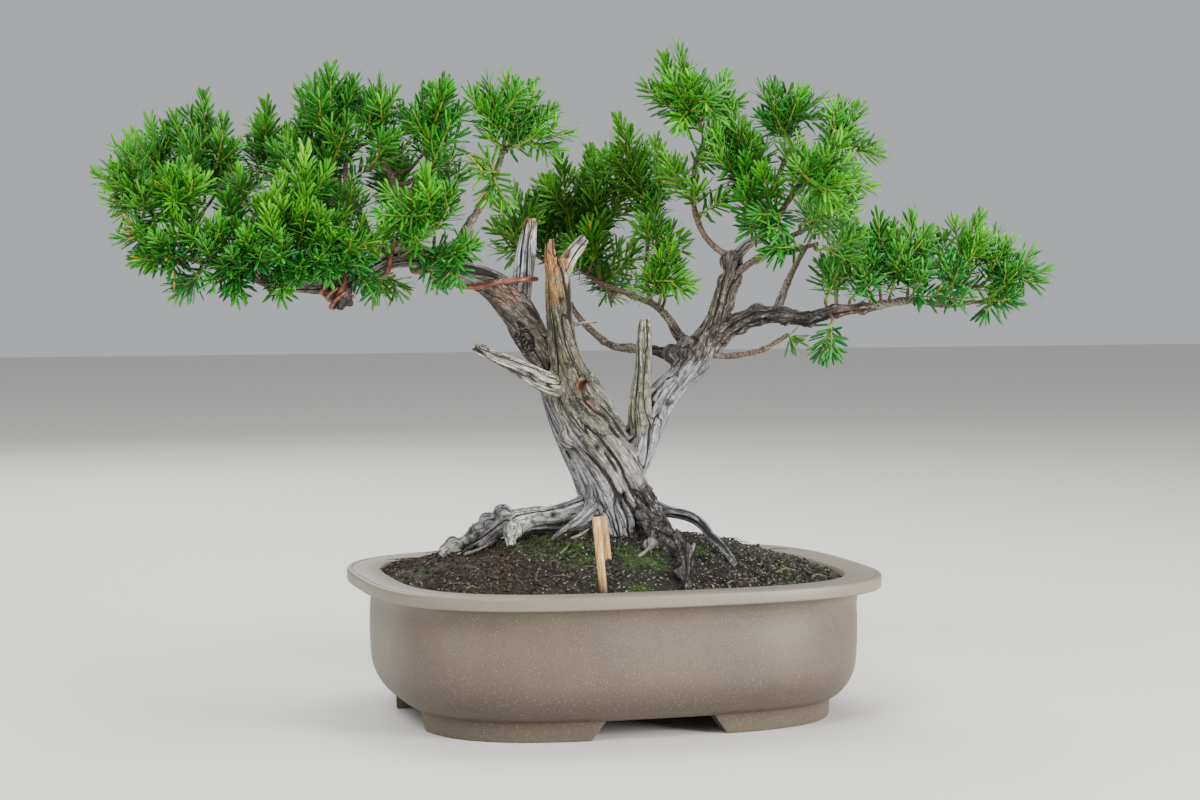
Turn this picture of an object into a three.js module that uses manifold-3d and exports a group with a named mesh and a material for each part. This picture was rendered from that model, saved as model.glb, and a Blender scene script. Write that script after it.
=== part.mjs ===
import * as THREE from "three";
import { mergeVertices } from "three/addons/utils/BufferGeometryUtils.js";
import Module from "manifold-3d";

// A yew bonsai in its oblong clay pot. Millimetres, +Z up, +X along the pot's long side, +Y to its back.

const wasm = await Module();
wasm.setup();

// Pot: its outline at every height is |x / a|^n + |y / b|^n = 1, set in from the rim's edge.
const POT_HALF_LENGTH = 200;
const POT_HALF_WIDTH = 161;
const POT_HEIGHT = 111;
const CORNER_POWER = 3.2;
const RIM_DEPTH = 9.6;
const LIP_WIDTH = 26;
const WALL_INSET = 17.5;
const BASE_INSET = 33.5;
const BASE_ROUND = 18; // radius of the turn from wall to underside
const FOOT_HEIGHT = 15;
const FOOT_INSET = 37;
const FOOT_WIDTH = 19;
const FLOOR_THICKNESS = 9;
const FRONT_GAP = { top: 84, bottom: 114 }; // between two feet, under each long side
const END_GAP = { top: 84, bottom: 106 };
const DRAIN_RADIUS = 13;
const DRAIN_SPREAD = 80; // each drain hole's distance from the pot's middle
const SCREEN_SIZE = 42;
const SCREEN_THICKNESS = 1.2;

// Soil: a dome that falls from the tree's foot to just under the lip.
const SOIL_EDGE = 106;
const SOIL_RISE = 36;
const SOIL_POWER = 1.7;

const GAP = 0.35; // between neighbours that touch

// The tree is drawn as its front is seen, by an eye in front of the pot and above its foot.
// Each point is [across, up, back]: where it shows in the upright plane through the pot's middle,
// and how far it lies behind that plane.
const EYE_DISTANCE = 1984;
const EYE_HEIGHT = 357;
const POT_TURN = THREE.MathUtils.degToRad(16.87); // the pot's left end is turned to the eye
const POT_SHIFT = 8.8; // the pot's middle lies this far to the right

// Limbs: [across, up, back, radius] from the foot outwards.
const LIMBS = {
  trunk: {
    sides: 14,
    flutes: 0.075,
    rows: [[21, 84, 4, 24], [19, 106, 4, 31], [16, 133, 2, 30], [13, 155, 0, 27], [9, 180, 0, 25.5],
      [0, 206, 0, 24], [-12, 231, 0, 22.5], [-23, 252, 0, 19.5], [-27, 268, 0, 14]],
  },
  trunk_vein: {
    sides: 6,
    rows: [[0, 161, 12, 14], [-11, 182, 12, 10], [-22, 204, 14, 8.5], [-31, 227, 16, 8.5],
      [-37, 249, 18, 9.5], [-40, 264, 20, 9.5]],
  },
  left_limb: {
    sides: 8,
    flutes: 0.05,
    bears: true,
    rows: [[-20, 241, 12, 15.5], [-37, 269, 16, 12.5], [-51, 292, 16, 13.5], [-68, 318, 13, 14.5],
      [-84, 333, 10, 11.5], [-104, 341, 8, 10], [-124, 347, 4, 9.5], [-143, 354, 0, 9],
      [-160, 354, -2, 8.5], [-180, 345, -5, 7.8], [-202, 333, -8, 7.4], [-229, 332, -8, 6.2],
      [-252, 333, -6, 5.4], [-271, 339, -2, 4.3], [-299, 348, 4, 3.5], [-326, 354, 10, 2.5]],
  },
  left_knob: { sides: 6, rows: [[-194, 336, -8, 6.2], [-199, 323, -10, 6.2], [-200, 314, -11, 3.9]] },
  far_left: {
    sides: 5,
    bears: true,
    rows: [[-293, 347, 3, 3.5], [-310, 362, 0, 3.1], [-324, 378, -4, 2.8], [-335, 392, -6, 2.3]],
  },
  left_stem: {
    sides: 5,
    bears: true,
    rows: [[-172, 348, -4, 4.5], [-181, 374, 4, 3.4], [-190, 396, 8, 2.8], [-203, 412, 12, 2.2],
      [-208, 429, 14, 2]],
  },
  left_side_stem: {
    sides: 4,
    bears: true,
    rows: [[-190, 396, 8, 2.4], [-197, 416, 6, 2], [-195, 430, 6, 1.8], [-185, 440, 8, 1.6]],
  },
  left_inner_stem: {
    sides: 5,
    bears: true,
    rows: [[-146, 352, 0, 4.6], [-152, 386, 6, 3.4], [-161, 416, 10, 2.8], [-171, 431, 14, 2.1]],
  },
  left_back_stem: {
    sides: 4,
    bears: true,
    rows: [[-238, 333, -7, 4.2], [-245, 354, 12, 3], [-250, 378, 28, 2.4], [-254, 398, 40, 1.9]],
  },
  mid_left_stem: {
    sides: 6,
    bears: true,
    rows: [[-119, 348, 6, 4.7], [-112, 361, 4, 3.6], [-104, 375, 2, 3.2], [-93, 392, 0, 3.1],
      [-84, 408, -2, 2.9], [-78, 426, -4, 2.5], [-74, 438, -5, 2.2]],
  },
  snag: {
    sides: 8,
    flutes: 0.08,
    rows: [[-22, 249, -6, 15.5], [-26, 270, -8, 12], [-30, 293, -8, 10.5], [-32, 316, -8, 10],
      [-33, 336, -8, 9.5], [-33, 347, -8, 7]],
  },
  snag_left: {
    sides: 5,
    rows: [[-34, 332, -8, 7.8], [-38, 350, -9, 5], [-40, 362, -9, 3.1], [-39, 368, -9, 1.4]],
  },
  snag_right: {
    sides: 5,
    rows: [[-31, 337, -8, 7], [-25, 353, -7, 5.8], [-18, 361, -6, 5], [-12, 368, -5, 2.4]],
  },
  snag_twig: { sides: 4, rows: [[-26, 297, -8, 2.7], [-16, 302, -10, 1.9], [-2, 303, -12, 1.4]] },
  low_jin: {
    sides: 7,
    flutes: 0.08,
    rows: [[-26, 250, -8, 10.9], [-43, 257, -12, 8.9], [-62, 267, -16, 6.6], [-81, 276, -19, 5.4],
      [-99, 284, -22, 2.7]],
  },
  left_jin: {
    sides: 6,
    rows: [[-62, 320, 10, 7.8], [-58, 342, 9, 7], [-57, 361, 8, 6.2], [-55, 376, 8, 4.7],
      [-55, 384, 8, 2.7]],
  },
  right_limb: {
    sides: 10,
    flutes: 0.06,
    rows: [[17, 180, 6, 15.5], [29, 200, 8, 13.2], [37, 224, 10, 12.4], [48, 244, 12, 12],
      [65, 262, 12, 11.6], [79, 277, 12, 11.3], [85, 288, 12, 9.3]],
  },
  middle_snag: {
    sides: 7,
    flutes: 0.08,
    rows: [[31, 219, 6, 10.1], [31, 243, 2, 8.9], [33, 266, 0, 6.6], [34, 289, 0, 5.8],
      [35, 306, 0, 4.6]],
  },
  right_up: {
    sides: 7,
    bears: true,
    rows: [[81, 282, 12, 10.9], [90, 303, 12, 8.5], [96, 322, 11, 7.8], [102, 340, 10, 7.4],
      [103, 353, 9, 6.2]],
  },
  up_left: {
    sides: 4,
    bears: true,
    rows: [[102, 354, 8, 3.5], [92, 359, 6, 2.6], [82, 369, 4, 2.3], [76, 381, 2, 2.3],
      [72, 399, 0, 2.1], [74, 425, 0, 2], [79, 440, 0, 1.8]],
  },
  up_right: {
    sides: 5,
    bears: true,
    rows: [[105, 354, 8, 4.7], [115, 364, 0, 3.9], [126, 369, -10, 3.5], [136, 382, -18, 2.6],
      [147, 399, -24, 2.3], [159, 415, -28, 2], [170, 427, -30, 1.8]],
  },
  up_middle: {
    sides: 4,
    bears: true,
    rows: [[126, 369, -10, 3], [130, 394, -6, 2.2], [138, 416, -2, 1.9], [146, 436, 0, 1.7]],
  },
  up_low: {
    sides: 4,
    bears: true,
    rows: [[107, 342, 8, 3.1], [118, 350, -6, 2.5], [129, 357, -16, 2.3], [143, 367, -26, 2.1],
      [155, 373, -32, 1.9]],
  },
  up_lower: {
    sides: 4,
    bears: true,
    rows: [[127, 356, -14, 2], [147, 358, -24, 1.8], [169, 364, -34, 1.6]],
  },
  right_arm: {
    sides: 6,
    bears: true,
    rows: [[82, 282, 12, 9.3], [101, 299, 8, 7], [118, 307, 4, 7], [138, 309, 0, 7],
      [161, 306, -6, 6.2], [183, 312, -10, 5.4], [205, 314, -12, 4], [225, 318, -12, 3],
      [244, 320, -12, 2.4], [270, 316, -14, 2.1], [290, 319, -14, 1.7]],
  },
  arm_back: {
    sides: 4,
    bears: true,
    rows: [[137, 311, 4, 3.9], [145, 333, 26, 2.8], [153, 350, 40, 2.3], [160, 362, 50, 1.9]],
  },
  arm_tip: {
    sides: 4,
    bears: true,
    rows: [[268, 316, -14, 1.7], [282, 327, -12, 1.4], [290, 331, -11, 1.2]],
  },
  low_twig: {
    sides: 4,
    bears: true,
    rows: [[82, 280, 14, 3.9], [95, 277, 20, 2.4], [110, 278, 26, 2.1], [127, 282, 32, 2.1],
      [140, 290, 38, 1.9]],
  },
  back_left: {
    sides: 4,
    bears: true,
    rows: [[81, 283, 14, 9.3], [65, 279, 34, 6.6], [53, 279, 44, 5.3], [39, 282, 52, 4.2],
      [24, 283, 58, 3.6], [9, 285, 64, 3.1], [-6, 296, 72, 2.8], [-18, 309, 80, 2.5],
      [-29, 328, 88, 2.3], [-40, 350, 94, 1.9]],
  },
  back_up: {
    sides: 4,
    bears: true,
    rows: [[75, 284, 18, 7], [62, 292, 30, 4.7], [53, 306, 40, 3.3], [43, 316, 46, 2.8],
      [32, 321, 52, 2.5], [17, 327, 58, 2.3], [2, 333, 64, 2], [-11, 341, 68, 1.9],
      [-22, 350, 72, 1.6]],
  },
  back_stem: {
    sides: 4,
    bears: true,
    rows: [[40, 317, 48, 2.3], [37, 330, 52, 1.9], [36, 345, 56, 1.7], [37, 364, 60, 1.6],
      [38, 378, 61, 1.5]],
  },
};

// Roots that show above the soil, in the same terms.
const ROOTS = {
  root_left: {
    sides: 7,
    rows: [[3, 160, -4, 13.2], [-16, 157, -10, 8.9], [-35, 154, -14, 7], [-54, 154, -16, 6.4],
      [-69, 150, -15, 7], [-80, 143, -12, 6.6], [-93, 134, -8, 7.4], [-106, 128, -4, 5.8],
      [-116, 123, -2, 3.5]],
  },
  root_left_keel: {
    sides: 5,
    rows: [[-5, 148, -6, 9], [-33, 146, -12, 6.5], [-54, 145, -14, 6], [-70, 141, -14, 5.4]],
  },
  root_left_fork: {
    sides: 5,
    rows: [[-66, 150, -16, 5.4], [-70, 140, -26, 5], [-69, 128, -34, 3.9], [-68, 120, -38, 2.5]],
  },
  root_left_back: {
    sides: 5,
    rows: [[-69, 150, -12, 5.4], [-81, 151, -6, 5], [-90, 145, 0, 3.9], [-97, 134, 8, 2.5]],
  },
  root_fork: {
    sides: 4,
    rows: [[-9, 155, -18, 6.2], [-21, 145, -34, 3.8], [-30, 140, -42, 2.8], [-38, 133, -50, 1.9]],
  },
  root_right: {
    sides: 7,
    rows: [[30, 165, -8, 13.2], [41, 150, -22, 10.1], [51, 138, -38, 7.8], [62, 125, -56, 6.6],
      [68, 111, -78, 5.8], [66, 98, -104, 4.3], [64, 88, -116, 3]],
  },
  root_far: {
    sides: 5,
    rows: [[30, 160, 2, 8], [41, 158, 2, 7], [55, 155, -4, 4.6], [69, 152, -12, 4.3],
      [79, 146, -22, 4], [87, 136, -36, 3.6], [97, 126, -52, 3.1], [106, 113, -66, 2.3]],
  },
  root_small: { sides: 4, rows: [[37, 147, -26, 4.7], [40, 132, -46, 2.4], [36, 117, -62, 1.5]] },
  root_front: {
    sides: 8,
    flutes: 0.06,
    rows: [[14, 161, -8, 18.6], [17, 137, -16, 17.1], [21, 116, -22, 13.2]],
  },
  root_rear: {
    sides: 6,
    rows: [[14, 158, 6, 15], [22, 146, 32, 9.5], [34, 136, 58, 6.2], [40, 124, 84, 3.6]],
  },
  root_rear_left: {
    sides: 5,
    rows: [[4, 156, 8, 12], [-16, 148, 34, 7.2], [-38, 139, 56, 4.6], [-56, 127, 74, 2.8]],
  },
};

// Sprays: where the green shoot leaves its twig, then the furthest needle point of each of its shoots.
const SPRAYS = {
  left_01: [[-342, 399, -8], [-396, 419, -30], [-380, 445, -8], [-387, 394, -34]],
  left_02: [[-336, 404, 20], [-349, 465, 30], [-366, 452, 55]],
  left_03: [[-322, 387, -24], [-319, 431, -38], [-340, 426, -52]],
  left_04: [[-306, 401, 28], [-306, 484, 30], [-331, 469, 42], [-289, 466, 18]],
  left_05: [[-329, 368, -14], [-380, 368, -28], [-366, 349, -16]],
  left_06: [[-301, 353, -20], [-293, 388, -46], [-328, 378, -52]],
  left_07: [[-310, 344, 4], [-332, 318, 14]],
  left_08: [[-275, 347, -24], [-272, 376, -62], [-290, 327, -44]],
  left_09: [[-254, 412, 45], [-259, 479, 50], [-277, 446, 62], [-239, 458, 38]],
  left_10: [[-282, 387, 84], [-288, 436, 96], [-265, 424, 112], [-300, 404, 118]],
  left_11: [[-247, 353, -24], [-245, 418, -38], [-259, 395, -58]],
  left_12: [[-218, 393, 10], [-234, 462, 20], [-218, 476, 32]],
  left_13: [[-208, 436, 14], [-208, 505, 12], [-191, 493, 30], [-224, 495, -2]],
  left_14: [[-179, 442, 8], [-169, 496, 2], [-155, 487, -10], [-185, 484, 34]],
  left_15: [[-219, 359, -26], [-217, 396, -70], [-197, 385, -54], [-192, 393, -36], [-209, 330, -60]],
  left_16: [[-164, 387, 22], [-158, 452, 34], [-144, 435, 18], [-173, 429, 56]],
  left_17: [[-136, 435, 0], [-117, 495, -4], [-134, 489, 12], [-147, 472, -16]],
  left_18: [[-128, 371, -24], [-136, 427, -44], [-111, 413, -34], [-159, 405, -56], [-177, 387, -80]],
  left_19: [[-110, 353, -26], [-94, 370, -44], [-127, 328, -48]],
  left_20: [[-168, 345, 24], [-179, 317, 44], [-146, 328, 54]],
  left_21: [[-74, 444, -6], [-89, 497, -16], [-71, 499, 2], [-105, 486, -26], [-59, 487, -34]],
  left_22: [[-71, 438, 8], [-49, 492, 22], [-31, 471, 12], [-14, 450, -2]],
  left_23: [[-80, 419, -12], [-104, 430, -32], [-68, 388, -20]],
  left_24: [[-127, 381, 58], [-114, 436, 76], [-136, 419, 100]],
  left_25: [[-206, 370, 60], [-204, 425, 84], [-231, 409, 104]],
  middle_01: [[-60, 362, 84], [-90, 381, 84], [-68, 343, 92], [-43, 398, 78]],
  middle_02: [[-22, 371, 86], [-32, 437, 92], [-6, 442, 104], [-51, 416, 112]],
  middle_03: [[0, 370, 78], [7, 441, 84], [-15, 405, 112]],
  middle_04: [[40, 387, 60], [12, 466, 62], [44, 449, 72], [60, 430, 84]],
  middle_05: [[45, 352, 46], [60, 382, 38], [30, 388, 20], [70, 370, 62]],
  middle_06: [[50, 324, 32], [31, 348, 14], [20, 328, 28], [58, 364, 16], [78, 333, 4]],
  middle_07: [[-6, 350, 60], [4, 375, 68], [-29, 368, 54], [-30, 345, 40]],
  middle_08: [[9, 320, 84], [-6, 359, 128], [23, 350, 140]],
  right_01: [[80, 447, 0], [57, 523, -6], [46, 512, 6], [101, 499, 12], [114, 476, -2], [57, 453, -24],
    [96, 456, -30]],
  right_02: [[75, 385, 0], [71, 416, -18]],
  right_03: [[115, 398, -10], [100, 476, -12], [119, 453, -26]],
  right_04: [[148, 442, 0], [120, 490, 2], [131, 493, 14], [157, 487, -10], [180, 481, -6]],
  right_05: [[175, 432, -30], [188, 479, -24], [204, 474, -8], [224, 430, -16]],
  right_06: [[166, 406, -44], [149, 429, -78], [176, 439, -74], [193, 412, -86], [218, 407, -58],
    [194, 387, -86]],
  right_07: [[141, 388, -44], [118, 387, -78], [138, 365, -76]],
  right_08: [[126, 381, -24], [108, 401, -50], [112, 368, -44]],
  right_09: [[164, 370, 56], [170, 401, 78], [198, 381, 84], [155, 398, 112]],
  right_10: [[185, 333, 24], [194, 370, 54], [217, 378, 62], [171, 350, 74]],
  right_11: [[217, 328, -18], [216, 391, -26], [200, 371, -50]],
  right_12: [[239, 328, -16], [242, 392, -20], [257, 378, -2], [226, 350, -58]],
  right_13: [[267, 327, -14], [297, 391, -14], [313, 378, -4], [262, 364, -42]],
  right_14: [[298, 333, -12], [323, 372, -8], [342, 362, -22], [354, 342, -14]],
  right_15: [[298, 319, -16], [329, 327, -26], [298, 302, -20]],
  right_16: [[180, 303, -26], [169, 271, -36]],
  right_17: [[146, 294, 40], [158, 285, 50]],
};

const TWIG_END_RADIUS = 1.6;
const LONG_TWIG = 30; // a longer one gets more bends
const TWIG_TAPER = 0.022; // the foot of a twig is thicker by this share of its length
const TWIG_SAG = 0.12;
const START_STEP = 2; // a shoot's foot moves out by this much until it is clear of the wood
const START_CLEAR = 3;
const MOST_STEPS_OUT = 12;
const SHOOT_BASE_RADIUS = 1.7;
const SHOOT_TIP_RADIUS = 1.1;
const SHOOT_RING_STEP = 6.9;
const SHOOT_TWIST = 0.42; // turn of the three-sided shoot from ring to ring
const SHOOT_SAG = 0.05; // share of its reach
const LEAST_LEAVE = THREE.MathUtils.degToRad(50); // angle between a side shoot's foot and the main shoot
const MOST_LEAVE = THREE.MathUtils.degToRad(92);
const BUD_LENGTH = 2.5;
const NEEDLE_LENGTH = 15.5;
const SHORTEST_NEEDLE = 0.78; // share of that length, at either end of a shoot
const NEEDLE_FOOT_RADIUS = 1.35; // room that a needle takes, and the finer part past its middle
const NEEDLE_END_RADIUS = 0.85;
const NEEDLE_MIDDLE = 0.4;
const FOOT_LEAN = THREE.MathUtils.degToRad(64); // angle of needle to stem, at the shoot's foot and at its tip
const TIP_LEAN = THREE.MathUtils.degToRad(34);
// A needle in another's way swings aside, tilts or is shorter: [swing, tilt, share of its length].
const NEEDLE_TRIES = [[0, 0, 1], [0.3, 0, 1], [-0.3, 0, 1], [0, -0.3, 1], [0.3, -0.3, 0.85],
  [-0.3, -0.3, 0.85], [0, 0.25, 0.7], [0, -0.2, 0.55]];
const TIP_REACH = 8; // needles pass the end of their shoot by this much
const BARE_FOOT = 6; // of a shoot, before its first needle
const CLEARANCE = 0.3;
const STEM_CLEARANCE = 0.2;
const NEEDLE_CLEARANCE = 0.1;

// Training wire, wound round the left limb.
const WIRE_RADIUS = 1.9;
const WIRE_TURNS = 4;
const WIRE_TURN_STEPS = 9;
const WIRE_PHASE = 0.6;
const WIRE_FROM = 0.225; // share of the limb's rows where the winding starts and ends
const WIRE_TO = 0.83;

// Marker sticks: [across, up, back, radius] from the buried end up.
const STICKS = {
  marker_stick_front: [[7, 52, -134, 3.2], [3, 91, -134, 3.5], [-3, 151, -134, 3.9]],
  marker_stick_back: [[10, 88, -80, 3.1], [6, 118, -80, 3.4], [2, 152, -80, 3.7]],
};

function seen([across, up, back]) {
  const k = (EYE_DISTANCE + back) / EYE_DISTANCE;
  const x = across * k - POT_SHIFT;
  const c = Math.cos(POT_TURN);
  const s = Math.sin(POT_TURN);
  return new THREE.Vector3(x * c + back * s, back * c - x * s, EYE_HEIGHT + (up - EYE_HEIGHT) * k);
}

function seeded(seed) {
  let state = seed >>> 0;
  return () => {
    state = (state + 0x6d2b79f5) >>> 0;
    let t = Math.imul(state ^ (state >>> 15), 1 | state);
    t = (t + Math.imul(t ^ (t >>> 7), 61 | t)) ^ t;
    return ((t ^ (t >>> 14)) >>> 0) / 4294967296;
  };
}

// Solids

const MERGE_DISTANCE = 1e-3;

function solidOf(geometry) {
  const bare = new THREE.BufferGeometry();
  bare.setAttribute("position", geometry.getAttribute("position"));
  bare.setIndex(geometry.index);
  const merged = mergeVertices(bare, MERGE_DISTANCE);
  const old = merged.index.array;
  const kept = [];
  for (let i = 0; i < old.length; i += 3) {
    const [a, b, c] = [old[i], old[i + 1], old[i + 2]];
    if (a !== b && b !== c && c !== a) kept.push(a, b, c);
  }
  const vertProperties = merged.attributes.position.array;
  const closed = (triVerts) => new wasm.Manifold(new wasm.Mesh({ numProp: 3, vertProperties, triVerts }));
  const solid = closed(new Uint32Array(kept));
  return solid.volume() > 0 ? solid : closed(new Uint32Array(kept).reverse());
}

function geometryOf(solid) {
  const mesh = solid.getMesh();
  const geometry = new THREE.BufferGeometry();
  geometry.setAttribute("position", new THREE.BufferAttribute(mesh.vertProperties, 3));
  geometry.setIndex(new THREE.BufferAttribute(mesh.triVerts, 1));
  geometry.computeVertexNormals();
  return geometry;
}

const joined = (solids) => solids.reduce((whole, solid) => whole.add(solid));

function largest(solid) {
  return solid.decompose().reduce((best, piece) => (piece.volume() > best.volume() ? piece : best));
}

// Tubes: a cylinder bent along a curve through the rows, with their radii

const curveOf = (rows) => new THREE.CatmullRomCurve3(rows.map(seen), false, "centripetal");

function radiusAt(rows, t) {
  const place = t * (rows.length - 1);
  const i = Math.min(Math.floor(place), rows.length - 2);
  return THREE.MathUtils.lerp(rows[i][3], rows[i + 1][3], place - i);
}

// An axis that lies well across a direction.
const across = (way) => (Math.abs(way.x) < 0.8 ? new THREE.Vector3(1, 0, 0) : new THREE.Vector3(0, 1, 0));

// Frames that turn as little as the curve lets them.
function framesAlong(curve, steps) {
  const frames = [];
  let side = across(curve.getTangent(0));
  for (let i = 0; i <= steps; i++) {
    const along = curve.getTangent(i / steps);
    side = side.clone().addScaledVector(along, -side.dot(along)).normalize();
    frames.push({ at: curve.getPoint(i / steps), along, side, over: side.clone().cross(along) });
  }
  return frames;
}

function bentTube(curve, sides, steps, radius) {
  const tube = new THREE.CylinderGeometry(1, 1, 1, sides, steps);
  const frames = framesAlong(curve, steps);
  const spots = tube.getAttribute("position");
  for (let i = 0; i < spots.count; i++) {
    const t = spots.getY(i) + 0.5;
    const frame = frames[Math.round(t * steps)];
    const r = radius(t, Math.atan2(spots.getX(i), spots.getZ(i)));
    const spot = frame.at.clone();
    spot.addScaledVector(frame.side, r * spots.getX(i));
    spot.addScaledVector(frame.over, r * spots.getZ(i));
    spots.setXYZ(i, spot.x, spot.y, spot.z);
  }
  return solidOf(tube);
}

const FLUTE_COUNT = 6;
const FLUTE_TWIST = 2.4;

function limbSolid({ rows, sides, flutes = 0 }, grow = 0) {
  const steps = rows.length - 1;
  const wave = (t, angle) => 1 + flutes * Math.sin(FLUTE_COUNT * angle + FLUTE_TWIST * t);
  return bentTube(curveOf(rows), sides, steps, (t, angle) => radiusAt(rows, t) * wave(t, angle) + grow);
}

// Pot

const curved = (v) => Math.sign(v) * Math.abs(v) ** (2 / CORNER_POWER);

// A body turned to the pot's outline: each row is [inset, height, scale], and an inset of null is the axis.
function outlineSolid(rows, segments) {
  const turned = new THREE.LatheGeometry(rows.map((_, j) => new THREE.Vector2(1, j)), segments);
  const spots = turned.getAttribute("position");
  for (let i = 0; i <= segments; i++) {
    const angle = ((i % segments) / segments) * 2 * Math.PI;
    rows.forEach(([inset, z, scale = 1], j) => {
      const a = inset === null ? 0 : scale * (POT_HALF_LENGTH - inset);
      const b = inset === null ? 0 : scale * (POT_HALF_WIDTH - inset);
      spots.setXYZ(i * rows.length + j, a * curved(Math.cos(angle)), b * curved(Math.sin(angle)), z);
    });
  }
  return solidOf(turned);
}

function gapSolid({ top, bottom }, length, turn) {
  const shape = new THREE.Shape();
  shape.moveTo(-bottom / 2, 0);
  shape.lineTo(bottom / 2, 0);
  shape.lineTo(top / 2, FOOT_HEIGHT);
  shape.lineTo(-top / 2, FOOT_HEIGHT);
  const gap = new THREE.ExtrudeGeometry(shape, { depth: length, bevelEnabled: false });
  gap.translate(0, 0, -length / 2);
  gap.rotateX(Math.PI / 2);
  gap.rotateZ(turn);
  return solidOf(gap);
}

const POT_SEGMENTS = 32; // shared by pot and soil, so their flat facets lie parallel
const FLOOR_TOP = FOOT_HEIGHT + FLOOR_THICKNESS;
const INNER_FLOOR = [[38, FLOOR_TOP], [LIP_WIDTH, FLOOR_TOP + 14]];

function potSolid() {
  const rows = [[null, 0], [FOOT_INSET, 0], [FOOT_INSET - 1, FOOT_HEIGHT - 0.5]];
  const arcSteps = 3;
  for (let i = 0; i <= arcSteps; i++) {
    const turn = (i / arcSteps) * (Math.PI / 2);
    const inset = BASE_INSET - (BASE_INSET - WALL_INSET) * Math.sin(turn);
    rows.push([inset, FOOT_HEIGHT + 0.5 + BASE_ROUND * (1 - Math.cos(turn))]);
  }
  const underRim = POT_HEIGHT - RIM_DEPTH;
  rows.push([WALL_INSET - 0.7, 62], [WALL_INSET, 88], [WALL_INSET - 2.3, underRim - 3]);
  rows.push([WALL_INSET - 4, underRim], [1.4, underRim], [0, underRim + 1.8], [0, POT_HEIGHT - 2.2]);
  rows.push([1.8, POT_HEIGHT], [LIP_WIDTH, POT_HEIGHT]);
  rows.push(...INNER_FLOOR.toReversed(), [null, FLOOR_TOP]);
  const recessInset = FOOT_INSET + FOOT_WIDTH;
  const recess = outlineSolid(
    [[null, -5], [recessInset, -5], [recessInset - 2, FOOT_HEIGHT], [null, FOOT_HEIGHT]],
    POT_SEGMENTS,
  );
  let pot = outlineSolid(rows, POT_SEGMENTS).subtract(recess);
  pot = pot.subtract(gapSolid(FRONT_GAP, 3 * POT_HALF_WIDTH, 0));
  pot = pot.subtract(gapSolid(END_GAP, 3 * POT_HALF_LENGTH, Math.PI / 2));
  for (const side of [-1, 1]) {
    const drain = new THREE.CylinderGeometry(DRAIN_RADIUS, DRAIN_RADIUS, 4 * FLOOR_THICKNESS, 14);
    drain.rotateX(Math.PI / 2);
    drain.translate(side * DRAIN_SPREAD, 0, FLOOR_TOP);
    pot = pot.subtract(solidOf(drain));
  }
  return pot;
}

function screenSolid(side, grow = 0) {
  const size = SCREEN_SIZE + 2 * grow;
  const screen = new THREE.BoxGeometry(size, size, SCREEN_THICKNESS + 2 * grow);
  screen.translate(side * DRAIN_SPREAD, 0, FLOOR_TOP + GAP + SCREEN_THICKNESS / 2);
  return solidOf(screen);
}

// Soil

function soilHeight(share) {
  return SOIL_EDGE + SOIL_RISE * (1 - share ** SOIL_POWER);
}

function soilSolid(sunk) {
  const wall = LIP_WIDTH + GAP;
  const rows = [[null, FLOOR_TOP + GAP]];
  for (const [inset, z] of INNER_FLOOR) rows.push([inset + GAP, z + GAP]);
  rows.push([wall, SOIL_EDGE - 1.5]);
  for (const share of [0.97, 0.78, 0.54, 0.28]) rows.push([wall, soilHeight(share), share]);
  rows.push([null, soilHeight(0)]);
  return largest(outlineSolid(rows, POT_SEGMENTS).subtract(sunk));
}

// Clearances, between straight stretches with a radius

function stretchGap(p, q) {
  const d1 = q.b.clone().sub(q.a);
  const d2 = p.b.clone().sub(p.a);
  const r = q.a.clone().sub(p.a);
  const a = d1.dot(d1);
  const e = d2.dot(d2);
  const f = d2.dot(r);
  const c = d1.dot(r);
  const b = d1.dot(d2);
  const clamp = (v) => Math.min(Math.max(v, 0), 1);
  const denominator = a * e - b * b;
  let s = denominator > 1e-9 ? clamp((b * f - c * e) / denominator) : 0;
  let t = (b * s + f) / e;
  if (t < 0 || t > 1) {
    t = clamp(t);
    s = clamp((b * t - c) / a);
  }
  const near = q.a.clone().addScaledVector(d1, s);
  return near.distanceTo(p.a.clone().addScaledVector(d2, t)) - p.r - q.r;
}

class Crowd {
  constructor(cell) {
    this.cell = cell;
    this.cells = new Map();
  }

  keys({ a, b, r }) {
    const keys = [];
    const low = (k) => Math.floor((Math.min(a[k], b[k]) - r - 1) / this.cell);
    const high = (k) => Math.floor((Math.max(a[k], b[k]) + r + 1) / this.cell);
    for (let i = low("x"); i <= high("x"); i++)
      for (let j = low("y"); j <= high("y"); j++)
        for (let k = low("z"); k <= high("z"); k++) keys.push(`${i},${j},${k}`);
    return keys;
  }

  add(stretch) {
    for (const key of this.keys(stretch)) {
      if (!this.cells.has(key)) this.cells.set(key, []);
      this.cells.get(key).push(stretch);
    }
  }

  hit(stretch, counts, room = CLEARANCE) {
    for (const key of this.keys(stretch))
      for (const other of this.cells.get(key) ?? [])
        if (counts(other) && stretchGap(stretch, other) < room) return other;
    return null;
  }
}

const crowd = new Crowd(14);

function addStretches(rows, owner, widening = 1) {
  const curve = curveOf(rows);
  const steps = (rows.length - 1) * 2;
  for (let i = 0; i < steps; i++) {
    const r = Math.max(radiusAt(rows, i / steps), radiusAt(rows, (i + 1) / steps)) * widening;
    crowd.add({ a: curve.getPoint(i / steps), b: curve.getPoint((i + 1) / steps), r, owner });
  }
}

// Wire

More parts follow.
